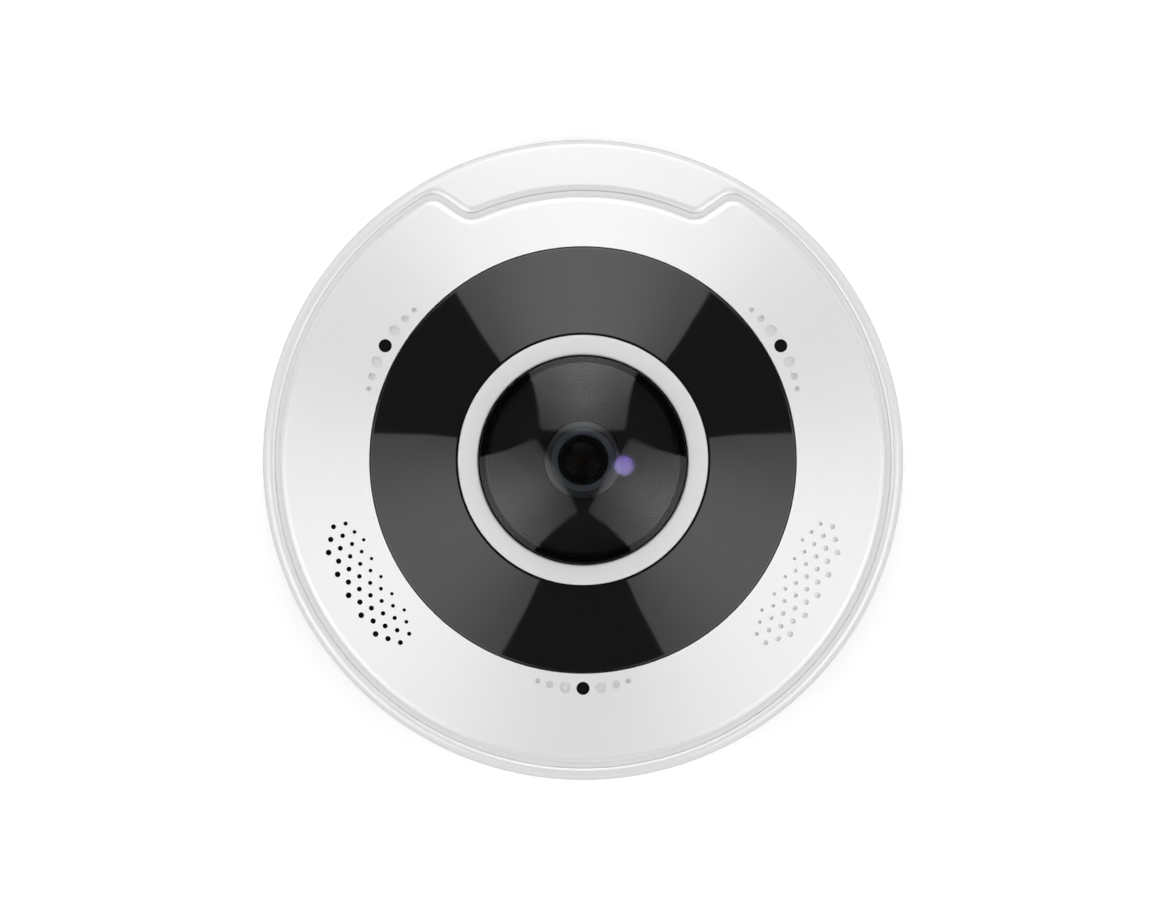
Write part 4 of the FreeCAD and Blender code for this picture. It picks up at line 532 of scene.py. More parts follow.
# Transfer-moulded epoxy of the chips: dull charcoal.
CHIP_EPOXY = MouldedPlastic("chip_epoxy", "#1C1C1E", 0.6, 1.55, shade="#19191B")
CARD_PLASTIC = MouldedPlastic("card_polycarbonate", "#0F1012", 0.25, 1.58, shade="#0D0E10",
                              grain=Grain.POLISHED)
CONE_FILM = MouldedPlastic("formed_film", "#2B2B2E", 0.35, 1.6, shade="#242427", grain=Grain.POLISHED)
LAMP_BODY = MouldedPlastic("lamp_ceramic", "#D8D2B4", 0.4, 1.55, shade="#CFC8A6")
CAPACITOR_CERAMIC = MouldedPlastic("capacitor_ceramic", "#8A6A4A", 0.5, 1.6, shade="#7B5D40")
IVORY_NYLON = MouldedPlastic("ivory_nylon", "#E4DEC8", 0.45, 1.53, shade="#DBD4BA")
# Nitrile rubber of the seals, the gland and the boots.
BLACK_RUBBER = SoftRubber("nitrile_rubber", "#141414", 0.75, 1.52, bloom="#1D1D1D")
# Light grey silicone strip in the joint: matt, with a grey darker than the white round it that is painted
# shade, so that the joint reads as a soft shaded valley.
JOINT_PAINTED_SHADE = SoftRubber("painted_shade_joint", "#DCDCDC", 0.8, 1.43, bloom="#E2E2E2")
HEAT_PAD = SoftRubber("silicone_pad", "#8E979C", 0.7, 1.43, bloom="#9BA3A7")
# Zinc-plated steel sheet: cool grey with faint crystals.
ZINC_SHEET = PlatedMetal("zinc_plated_sheet", "#C6C8CA", 0.38, tarnish="#B4B7BA")
SCREW_NICKEL = PlatedMetal("nickel_plated_screw", "#BDBBB6", 0.3, tarnish="#A9A7A2", crystal_mm=0.8)
TINNED_SHELL = PlatedMetal("tinned_shell", "#C9C8C4", 0.28, tarnish="#BDBCB8", crystal_mm=1.5)
DRAWN_CAN = PlatedMetal("drawn_aluminium", "#D0D1D4", 0.3, tarnish="#C4C5C9", crystal_mm=4.0)
MAGNET_NICKEL = PlatedMetal("bright_nickel", "#CFCBC3", 0.16, tarnish="#C6C2BA", crystal_mm=5.0)
# Lens barrel, anodised black after turning.
BLACK_ANODISED = TurnedMetal("black_anodised", "#151515", 0.8, 1.5, 0.03, metallic=0.0)
# Inner edge of the ring over the front glass, turned bright after a dark grey anodising.
GREY_ANODISED = TurnedMetal("grey_anodised", "#484C4D", 0.42, 1.5, metallic=0.8)
# Blackened metal inside the lens, cut in fine steps that trap light.
LENS_BLACK = TurnedMetal("lens_black", "#050505", 0.8, 1.5, 0.05, metallic=0.0, ring_mm=0.2)
TURNED_BRASS = TurnedMetal("turned_brass", "#C9A55C", 0.3)
GREEN_BOARD = SolderMask("green_solder_mask", "#124A2B", 0.35, 1.55)
# White solder mask on the lamp board, which throws stray light back out.
WHITE_BOARD = SolderMask("white_solder_mask", "#DCDDDA", 0.4, 1.55, track="#CFD2CC", dot="#B9B7AC")
AMBER_CABLE = FlatCable("polyimide_cable", "#8A5A18", 0.35, 1.6)
SOUND_MESH = WovenCloth("acoustic_mesh", "#161616", 0.8)


def box_mm(node: str) -> tuple[Vector, Vector]:
    """Return the lowest and highest corners of a piece of the frame, in millimetres."""
    low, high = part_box(node)
    return low / MM, high / MM


def off_axis(place: Vector) -> float:
    """Return how far a place is from the lens axis, in millimetres."""
    return math.hypot(place.x, place.y) / MM


def mode(name: str) -> None:
    """Go to edit mode or back to object mode."""
    bpy.ops.object.mode_set(mode=name)


def mark(action: str) -> None:
    """Select all, none or the rest of the points in edit mode."""
    bpy.ops.mesh.select_all(action=action)


def keep_marked(kind: str) -> None:
    """Delete what isn't selected, as this kind of element."""
    mark("INVERT")
    bpy.ops.mesh.delete(type=kind)


def merge_doubles(reach: float) -> None:
    """Select all and merge points that lie within a reach, in metres."""
    mark("SELECT")
    bpy.ops.mesh.remove_doubles(threshold=reach)


def choose(*pieces: Piece) -> None:
    """Select some pieces alone, and make the first one the active one.

    Args:
        pieces: The pieces to select.
    """
    bpy.ops.object.select_all(action="DESELECT")
    for piece in pieces:
        piece.select_set(True)
    bpy.context.view_layer.objects.active = pieces[0]


def placed(name: str, data: bpy.types.ID) -> Piece:
    """Put new data in the scene as an object.

    Args:
        name: The object's name.
        data: A mesh, a lamp or a camera.

    Returns:
        The new object.
    """
    piece = bpy.data.objects.new(name, data)
    bpy.context.scene.collection.objects.link(piece)
    return piece


def copy_of(node: str, name: str) -> Piece:
    """Copy a piece of the frame to cut a new one from, with its double points merged.

    Args:
        node: The piece of the frame.
        name: The new piece's name.

    Returns:
        The new piece, in edit mode with all of it selected.
    """
    piece = placed(name, frame["nodes"][node].data.copy())
    choose(piece)
    bpy.ops.mesh.customdata_custom_splitnormals_clear()
    mode("EDIT")
    bpy.ops.mesh.select_mode(type="VERT")
    merge_doubles(SAME_CORNER)
    return piece


def cap_arc(rim: Pair, top: float, count: int) -> list[Pair]:
    """Points of a ball's cap from its rim to its top, in millimetres.

    Args:
        rim: Radius and height of the rim.
        top: Height of the cap's top, above or below the rim.
        count: How many steps the arc has.

    Returns:
        Radii and heights after the rim, ending on the axis.
    """
    rise = abs(top - rim[1])
    radius = (rim[0] ** 2 + rise ** 2) / (2 * rise)
    way = 1 if top > rim[1] else -1
    full = math.asin(rim[0] / radius)
    points = []
    for step in range(1, count + 1):
        angle = full * (1 - step / count)
        points.append((radius * math.sin(angle), top - way * radius * (1 - math.cos(angle))))
    return points


def ring_of(radius: float, start: float, count: int) -> list[Pair]:
    """Return places evenly round the lens axis, in millimetres, from a start in degrees."""
    turns = [math.radians(start + 360 * number / count) for number in range(count)]
    return [(radius * math.cos(turn), radius * math.sin(turn)) for turn in turns]


def begin(kind: str, name: str) -> Piece:
    """Add a primitive of 1 mm at the origin and go to edit mode, with all of it selected.

    Args:
        kind: The primitive, as bpy.ops.mesh names it.
        name: The piece's name.

    Returns:
        The new object.
    """
    bpy.ops.object.select_all(action="DESELECT")
    getattr(bpy.ops.mesh, f"primitive_{kind}_add")(size=MM)
    piece = bpy.context.object
    piece.name = name
    piece.data.name = name
    mode("EDIT")
    return piece


def flatten(piece: Piece) -> None:
    """Keep the flat faces of the active piece flat in their shading.

    Args:
        piece: The active piece.
    """
    flat = piece.modifiers.new("flat_faces", "WEIGHTED_NORMAL")
    flat.keep_sharp = True
    bpy.ops.object.modifier_apply(modifier=flat.name)


def end(piece: Piece, edge_mm: float) -> Piece:
    """Leave edit mode, round the edges and shade them.

    Args:
        piece: The object in edit mode.
        edge_mm: Radius of its rounded edges, in millimetres, or 0 for sharp ones.

    Returns:
        The same object.
    """
    mode("OBJECT")
    if edge_mm:
        bevel = piece.modifiers.new("edges", "BEVEL")
        bevel.width = edge_mm * MM
        bevel.segments = 2
        bevel.limit_method = "ANGLE"
        bevel.angle_limit = EDGE_ANGLE
        bpy.ops.object.modifier_apply(modifier=bevel.name)
    bpy.ops.object.shade_smooth_by_angle(angle=SMOOTH_ANGLE)
    if edge_mm:
        flatten(piece)
    return piece


def turned(name: str, corners: list[Pair], edge_mm: float = 0.0, middle: Pair = (0, 0),
           steps: int = 192) -> Piece:
    """Turn a profile about an upright axis, as on a lathe.

    Args:
        name: The piece's name.
        corners: Radii and heights in order round the profile, in millimetres.
        edge_mm: Radius of its rounded edges, in millimetres.
        middle: Where the axis stands, in millimetres.
        steps: Faces round the piece.

    Returns:
        The turned piece.
    """
    closed = corners if corners[0][0] == 0 and corners[-1][0] == 0 else [*corners, corners[0]]
    places = [Vector((middle[0] + radius, middle[1], height)) * MM for radius, height in closed]
    piece = begin("plane", name)
    bpy.ops.mesh.merge(type="CENTER")
    bpy.ops.transform.translate(value=places[0])
    for here, there in zip(places, places[1:]):
        bpy.ops.mesh.extrude_region_move(TRANSFORM_OT_translate={"value": there - here})
    merge_doubles(SAME_POINT)
    bpy.ops.mesh.spin(steps=steps, angle=math.tau, center=(middle[0] * MM, middle[1] * MM, 0), axis=UP)
    merge_doubles(SAME_POINT)
    bpy.ops.mesh.normals_make_consistent(inside=False)
    return end(piece, edge_mm)


def join(name: str, pieces: list[Piece]) -> Piece:
    """Join like pieces into one object.

    Args:
        name: The joined object's name.
        pieces: What to join.

    Returns:
        The joined object.
    """
    choose(*pieces)
    bpy.ops.object.join()
    joined = bpy.context.object
    joined.name = name
    joined.data.name = name
    return joined


@dataclass
class SubAssembly:
    """Pieces that come off the bench together."""

    FINISHES: ClassVar[Wardrobe] = {}  # pieces of the frame by finish

    def dress(self) -> None:
        """Give each piece of the frame its finish, as the only material it has."""
        for finish, names in self.FINISHES.items():
            for name in names:
                materials = frame["nodes"][name].data.materials
                materials.clear()
                materials.append(finish.material())
                LOG.info("%s: %s", name, finish.name)

    def build(self) -> None:
        """Model what this group has beside the pieces of the frame."""

    def seat(self, piece: Piece, body: str, finish: Finish, slot: str, *stands_for: str) -> None:
        """Give a new piece its finish and the body that carries it.

        Args:
            piece: The modelled piece.
            body: The body that it moves with.
            finish: Its finish.
            slot: The record's name for that finish; not used.
            stands_for: Pieces of the frame that it shows in place of.
        """
        piece.data.materials.clear()
        piece.data.materials.append(finish.material())
        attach(piece, body)
        if stands_for:
            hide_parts(*stands_for)
        LOG.info("%s: modelled, %s", piece.name, finish.name)


@dataclass
class CeilingMount(SubAssembly):
    """The pressed plate on the ceiling, the studs that hook in it and the screw that locks them."""

    FINISHES: ClassVar[Wardrobe] = {
        ZINC_SHEET: ("mounting_plate",),
        SCREW_NICKEL: ("bayonet_studs", "lock_screw"),
        BLACK_RUBBER: ("cable_gland",),
    }


@dataclass
class Housing(SubAssembly):
    """The rear housing with its seal and screws."""

    band_radius: float = 80.9  # inner end of the shoulder's round
    band_top: float = 42.83  # its height there
    side_top: float = 38.4  # height above which the side wall turns into that round
    bore_top: float = 6.0  # height that clears the lock screw's bore
    round_steps: int = 10  # faces across the round
    margin: float = 1.0  # what is cut beyond the round at either end
    reach: float = 0.002  # how far a point may lie off its ring
    slack: float = 0.01  # and how far inside the shoulder's round

    FINISHES: ClassVar[Wardrobe] = {
        WHITE_POWDER: ("rear_housing",),
        BLACK_RUBBER: ("case_seal",),
        SCREW_NICKEL: ("case_screws", "chassis_screws"),
        BLACK_PLASTIC: ("chassis",),
    }

    def outer_points(self, shell: Piece, low: float, high: float) -> list[bpy.types.MeshVertex]:
        """Return the points of the side and the shoulder between two heights, in millimetres."""
        return [point for point in shell.data.vertices
                if low < point.co.z / MM < high and off_axis(point.co) > self.band_radius - self.slack]

    def pick(self, shell: Piece, low: float, high: float) -> float:
        """Go to edit mode with the side and the shoulder selected between two heights.

        Args:
            shell: The housing, in object mode.
            low: The lower height, in millimetres.
            high: The upper height.

        Returns:
            How far the first selected point is from the axis, in millimetres.
        """
        picked = self.outer_points(shell, low, high)
        radius = off_axis(picked[0].co)
        numbers = {point.index for point in picked}
        for point in shell.data.vertices:
            point.select = point.index in numbers
        for part in (*shell.data.edges, *shell.data.polygons):
            part.select = numbers.issuperset(part.vertices)
        mode("EDIT")
        return radius

    def build(self) -> None:
        """Model the housing with an upright side, and a shoulder rounded like an ellipse."""
        shell = copy_of("rear_housing", "white_housing")
        mode("OBJECT")
        rise = self.band_top - self.side_top
        for step in range(1, self.round_steps):
            height = self.side_top + rise * math.sin(math.pi / 2 * step / self.round_steps)
            self.pick(shell, self.side_top - self.margin, self.band_top + self.margin)
            bpy.ops.mesh.bisect(plane_co=(0, 0, height * MM), plane_no=UP)
            mode("OBJECT")
        rim = box_mm("rear_housing")[1].x
        moved = self.outer_points(shell, self.bore_top, self.band_top - 2 * self.slack)
        for height in sorted({round(point.co.z / MM, 3) for point in moved}):
            share = max(0.0, (height - self.side_top) / rise)
            wanted = self.band_radius + (rim - self.band_radius) * math.sqrt(1 - share * share)
            radius = self.pick(shell, height - self.reach, height + self.reach)
            bpy.ops.transform.resize(value=(wanted / radius, wanted / radius, 1), center_override=CENTRE)
            mode("OBJECT")
        bpy.ops.object.shade_smooth_by_angle(angle=EDGE_ANGLE)
        flatten(shell)
        self.seat(shell, "camera", WHITE_POWDER, "white_paint", "rear_housing")


@dataclass
class FrontCover(SubAssembly):
    """The front cover with the window, the dome and what holds them."""

    window_inner: float = 32.5
    window_wall: float = 2.5
    window_edge: float = 0.25
    window_sag: float = 0.044  # how far the window's slope is hollow between its edges
    sag_shares: tuple[float, ...] = (0, 0.02, 0.1, 0.25, 0.4, 0.5, 0.6, 0.75, 0.9, 0.98, 1)  # along the slope
    dome_radius: float = 26.8  # dome's upright wall
    dome_wall: float = 2.0
    dome_rise: float = 11.1  # dome's top above its upright wall
    flange: float = 1.8  # thickness of the dome's flange
    ring_inner: float = 27.1
    ring_edge: float = 0.7
    cone_top: float = 49.5  # height of the cover's cone at the window's opening
    cone_radius: float = 55.3
    cone_slope: float = 14.6  # fall of the cover
    rebate_depth: float = 2.4  # rebate under the cover's rim, below its face
    rebate_near: float = 0.06  # how far a face of that rebate may lie off it
    strip_half: float = 1.2  # half width of the silicone strip in the joint
    strip_thick: float = 0.3  # half its thickness
    strip_depth: float = 0.9  # middle of the strip below the cover's face
    fine: int = 256  # faces round the pieces that mirror the studio

    DOWNWARD: ClassVar[float] = -0.9  # height of a unit normal below which a face looks down

    FINISHES: ClassVar[Wardrobe] = {
        WHITE_SHELL: ("front_shell",),
        BLACK_WINDOW: ("ir_window",),
        BLACK_RUBBER: ("window_seal", "dome_seal"),
        CLEAR_DOME: ("dome",),
        RING_PAINT: ("dome_ring",),
        BLACK_PLASTIC: ("window_carrier",),
        SCREW_NICKEL: ("window_screws",),
        SOUND_MESH: ("grille_mesh",),
    }

    def on_rebate(self, face: bpy.types.MeshPolygon) -> bool:
        """Tell whether a face of the cover looks down from the rebate under its rim.

        Args:
            face: The face of the cover.

        Returns:
            Whether it belongs to the rebate.
        """
        fall = (off_axis(face.center) - self.cone_radius) * math.tan(math.radians(self.cone_slope))
        depth = self.cone_top - fall - face.center.z / MM
        return face.normal.z < self.DOWNWARD and abs(depth - self.rebate_depth) < self.rebate_near

    def joint_path(self) -> Piece:
        """Cut the line of the joint from the cover: the outer edge of the rebate under its rim.

        Returns:
            The line as a mesh of edges, in object mode.
        """
        rim = copy_of("front_shell", "joint_shade_strip")
        mark("DESELECT")
        bpy.ops.mesh.select_mode(type="FACE")
        mode("OBJECT")
        for face in rim.data.polygons:
            face.select = self.on_rebate(face)
        mode("EDIT")
        keep_marked("FACE")
        mark("SELECT")
        bpy.ops.mesh.region_to_loop()
        keep_marked("EDGE_FACE")
        bpy.ops.mesh.select_mode(type="VERT")
        mark("DESELECT")
        mode("OBJECT")
        outermost = max(rim.data.vertices, key=lambda point: point.co.x ** 2 + point.co.y ** 2)
        outermost.select = True
        mode("EDIT")
        bpy.ops.mesh.select_linked()
        keep_marked("VERT")
        mark("SELECT")
        bpy.ops.transform.translate(value=(0, 0, (self.rebate_depth - self.strip_depth) * MM))
        mode("OBJECT")
        return rim

    def joint_shade_strip(self) -> None:
        """Lay the silicone strip in the joint, along the rim of the cover and round its notch; its grey is
        painted shade of the joint's valley.
        """
        strip = self.joint_path()
        bpy.ops.object.convert(target="CURVE")
        bpy.ops.curve.primitive_bezier_circle_add(radius=self.strip_half * MM)
        section = bpy.context.object
        section.scale.y = self.strip_thick / self.strip_half
        bpy.ops.object.transform_apply(location=False, rotation=False, scale=True)
        section.data.resolution_u = 6
        strip.data.bevel_mode = "OBJECT"
        strip.data.bevel_object = section
        choose(strip)
        bpy.ops.object.convert(target="MESH")
        bpy.data.objects.remove(section)
        mode("EDIT")
        mark("SELECT")
        bpy.ops.mesh.normals_make_consistent(inside=False)
        mode("OBJECT")
        bpy.ops.object.shade_smooth()
        # the strip's grey finish is painted shade of the valley in the joint
        self.seat(strip, "front", JOINT_PAINTED_SHADE, "grey_silicone")

    def build(self) -> None:
        """Model the strip, and the window, dome and ring with fine faces for smooth reflections."""
        self.joint_shade_strip()
        low, high = box_mm("ir_window")
        slope = []
        for share in self.sag_shares:
            sag = 4 * self.window_sag * share * (1 - share)
            slope.append((high.x + (self.window_inner - high.x) * share,
                          low.z + self.window_wall + (high.z - low.z - self.window_wall) * share - sag))
        window = turned("smoked_window", [
            (self.window_inner, high.z - self.window_wall), (high.x, low.z), *slope,
        ], self.window_edge, steps=self.fine)
        self.seat(window, "front", BLACK_WINDOW, "black_window", "ir_window")
        low, high = box_mm("dome")
        inner = self.dome_radius - self.dome_wall
        shoulder = high.z - self.dome_rise
        dome = turned("clear_dome", [
            *reversed(cap_arc((inner, shoulder), high.z - self.dome_wall, count=40)), (inner, shoulder),
            (inner, low.z), (high.x, low.z), (high.x, low.z + self.flange),
            (self.dome_radius, low.z + self.flange), (self.dome_radius, shoulder),
            *cap_arc((self.dome_radius, shoulder), high.z, count=40),
        ], steps=self.fine)
        self.seat(dome, "front", CLEAR_DOME, "clear_dome", "dome")
        low, high = box_mm("dome_ring")
        ring = turned("light_ring", [
            (self.ring_inner, low.z), (high.x, low.z), (high.x, high.z), (self.ring_inner, high.z),
        ], self.ring_edge, steps=self.fine)
        self.seat(ring, "front", RING_PAINT, "ring_grey", "dome_ring")


@dataclass
class Lens(SubAssembly):
    """The fisheye lens, its black cone and the filter changer behind it."""

    glass_rise: float = 3.7  # front glass above its rim
    glass_wall: float = 2.2  # front glass at its middle
    glass_hollow: float = 5.9  # radius of the hollow behind the front glass
    bulge_radius: float = 6.3  # clear part of the front glass, inside its ground rim
    bulge_rise: float = 2.8  # clear part above its own edge
    lip_inner: float = 6.4  # hole of the ring over the front glass
    lip_outer: float = 8.0  # outer edge of that ring's bright turned face
    lip_wall: float = 0.2  # thickness of the ring at its hole
    lip_fall: float = 0.1  # fall of the bright face
    ring_wall: float = 0.9  # wall of the ring where it screws on the barrel
    ring_drop: float = 0.35  # fall of the ring from its hole to its edge
    ring_bevel: float = 0.4  # bevel on that edge
    ring_roof: float = 0.3  # thickness of the ring over its wall
    cone_hole: float = 9.85  # hole of the black cone round the lens
    cone_wall: float = 1.4
    cone_rise: float = 4.2  # rise of the black cone's slope
    cone_foot: float = 24.2  # radius of the black cone's upright wall
    cone_bevel: float = 1.0  # bevel between wall and slope
    cone_inset: float = 0.4  # the same inside
    cone_edge: float = 0.3
    stop_hole: float = 1.6
    stop_levels: Triple = (0.35, 0.25, 0.45)  # its edge, underside and top above the glasses behind it

    UPWARD: ClassVar[float] = 0.5  # height of a unit normal above which a face looks up

    FINISHES: ClassVar[Wardrobe] = {
        BLACK_ANODISED: ("lens_barrel", "lens_retainer"),
        COATED_GLASS: ("front_element", "filter_glasses"),
        INNER_GLASS: ("lens_elements",),
        TURNED_BRASS: ("focus_ring",),
        BLACK_SHROUD: ("lens_shroud",),
        BLACK_PLASTIC: ("lens_holder", "filter_tray", "filter_arm", "filter_motor"),
    }

    def build(self) -> None:
        """Model the front glass, its ring, the black cone and the stop inside the barrel."""
        low, high = box_mm("front_element")
        shelf = (self.bulge_radius, high.z - self.bulge_rise)
        glass = turned("front_glass", [
            *reversed(cap_arc((self.glass_hollow, low.z), high.z - self.glass_wall, count=24)),
            (self.glass_hollow, low.z), (high.x, low.z), (high.x, high.z - self.glass_rise), shelf,
            *cap_arc(shelf, high.z, count=32),
        ], steps=128)
        self.seat(glass, "camera", COATED_GLASS, "coated_glass", "front_element")
        self.front_ring()
        low, high = box_mm("lens_shroud")
        shoulder = high.z - self.cone_rise
        inner = self.cone_foot - self.cone_wall
        cone = turned("anti_flare_cone", [
            (inner, low.z), (high.x, low.z), (high.x, low.z + self.cone_wall),
            (self.cone_foot, low.z + self.cone_wall), (self.cone_foot, shoulder - self.cone_bevel),
            (self.cone_foot - self.cone_bevel, shoulder), (self.cone_hole, high.z),
            (self.cone_hole, high.z - self.cone_wall),
            (inner - self.cone_inset, shoulder - self.cone_wall),
        ], self.cone_edge)
        self.seat(cone, "camera", BLACK_SHROUD, "black_shroud", "lens_shroud")
        behind = box_mm("lens_elements")[1]
        edge, under, top = (behind.z + level for level in self.stop_levels)
        stop = turned("aperture_stop", [
            (self.stop_hole, edge), (behind.x, under), (behind.x, top), (self.stop_hole, top),
        ], steps=64)
        self.seat(stop, "camera", LENS_BLACK, "black_anodised")

    def front_ring(self) -> None:
        """Model the ring over the front glass, with its bright turned face."""
        low, high = box_mm("lens_retainer")
        edge = high.z - self.ring_drop
        ring = turned("glass_ring", [
            (high.x - self.ring_wall, low.z), (high.x, low.z), (high.x, edge - self.ring_bevel),
            (high.x - self.ring_bevel, edge), (self.lip_outer, high.z - self.lip_fall),
            (self.lip_inner, high.z), (self.lip_inner, high.z - self.lip_wall),
            (high.x - self.ring_wall, edge - self.ring_roof),
        ], steps=128)
        self.seat(ring, "camera", BLACK_ANODISED, "black_anodised", "lens_retainer")
        ring.data.materials.append(GREY_ANODISED.material())
        for face in ring.data.polygons:
            if face.normal.z > self.UPWARD and off_axis(face.center) < self.lip_outer:
                face.material_index = 1


@dataclass
class Electronics(SubAssembly):
    """The boards and what is soldered to them."""

    lamp_count: int = 3
    lamp_start: float = 30.0  # direction of the first lamp
    beside: float = 6.5  # angle between a resistor and the capacitors beside it
    small_circle: float = 31.5  # circle of the small parts on the lamp board
    resistor: Triple = (3.2, 1.6, 0.55)  # length, width and height
    capacitor: Triple = (2.0, 1.25, 0.9)
    chip_edge: float = 0.08
    socket: Triple = (6.0, 3.4, 1.9)
    socket_at: float = 225.0
    socket_edge: float = 0.25

    FINISHES: ClassVar[Wardrobe] = {
        GREEN_BOARD: ("main_board", "sensor_board"),
        SCREW_NICKEL: ("board_screws", "sensor_screws", "led_screws"),
        CHIP_EPOXY: ("main_chip", "memory_chips", "power_transformer", "light_sensor"),
        HEAT_PAD: ("thermal_pad",),
        TINNED_SHELL: ("ethernet_jack", "card_slot"),
        GREEN_PLASTIC: ("terminal_block",),
        DRAWN_CAN: ("capacitors",),
        CARD_PLASTIC: ("memory_card",),
        BLACK_PLASTIC: ("reset_switch", "reset_button"),
        SENSOR_GLASS: ("image_sensor",),
        AMBER_CABLE: ("sensor_cable",),
        WHITE_BOARD: ("led_board",),
        LAMP_BODY: ("ir_leds",),
        LAMP_LENS: ("led_lenses",),
    }

    def brick(self, name: str, size: Triple, turn: float, edge_mm: float) -> Piece:
        """Model one small part that stands on the lamp board and lies along its ring.

        Args:
            name: The piece's name.
            size: Length, width and height, in millimetres.
            turn: Its direction from the lens axis, in degrees.
            edge_mm: Radius of its rounded edges, in millimetres.

        Returns:
            The modelled part.
        """
        top = box_mm("led_board")[1].z
        angle = math.radians(turn)
        middle = (self.small_circle * math.cos(angle), self.small_circle * math.sin(angle), top + size[2] / 2)
        piece = begin("cube", name)
        bpy.ops.transform.resize(value=(size[1], size[0], size[2]))
        bpy.ops.transform.rotate(value=-angle, orient_axis="Z", center_override=CENTRE)
        bpy.ops.transform.translate(value=Vector(middle) * MM)
        return end(piece, edge_mm)

    def build(self) -> None:
        """Model a resistor and two capacitors by each lamp of the lamp board, and a socket."""
        resistors = []
        capacitors = []
        for number in range(self.lamp_count):
            turn = 360 * number / self.lamp_count + self.lamp_start
            resistors.append(self.brick(f"resistor_{number}", self.resistor, turn, self.chip_edge))
            for side in (-1, 1):
                name = f"capacitor_{number}_{side + 1}"
                capacitors.append(self.brick(name, self.capacitor, turn + side * self.beside, self.chip_edge))
        self.seat(join("lamp_resistors", resistors), "camera", CHIP_EPOXY, "chip_resin")
        self.seat(join("lamp_capacitors", capacitors), "camera", CAPACITOR_CERAMIC, "lamp_resin")
        socket = self.brick("lamp_socket", self.socket, self.socket_at, self.socket_edge)
        self.seat(socket, "camera", IVORY_NYLON, "lamp_resin")


@dataclass
class Sound(SubAssembly):
    """The speaker and the microphones."""

    mic_circle: float = 59.07
    mic_start: float = 30.0
    screen_radius: float = 1.6  # mesh disc over a microphone's neck
    screen_height: float = 0.12
    screen_gap: float = 0.02  # what lies between the disc and the neck

    FINISHES: ClassVar[Wardrobe] = {
        BLACK_PLASTIC: ("speaker_basket",),
        MAGNET_NICKEL: ("speaker_magnet",),
        CONE_FILM: ("speaker_cone",),
        BLACK_RUBBER: ("speaker_gasket", "microphone_boots"),
        DRAWN_CAN: ("microphones",),
    }

    def build(self) -> None:
        """Model the mesh discs that keep dust out of the microphones."""
        foot = box_mm("microphone_boots")[1].z + self.screen_gap
        top = foot + self.screen_height
        screens = []
        for number, middle in enumerate(ring_of(self.mic_circle, self.mic_start, count=3)):
            screens.append(turned(f"mic_screen_{number}", [
                (0, foot), (self.screen_radius, foot), (self.screen_radius, top), (0, top),
            ], middle=middle, steps=32))
        self.seat(join("mic_screens", screens), "camera", SOUND_MESH, "black_mesh")


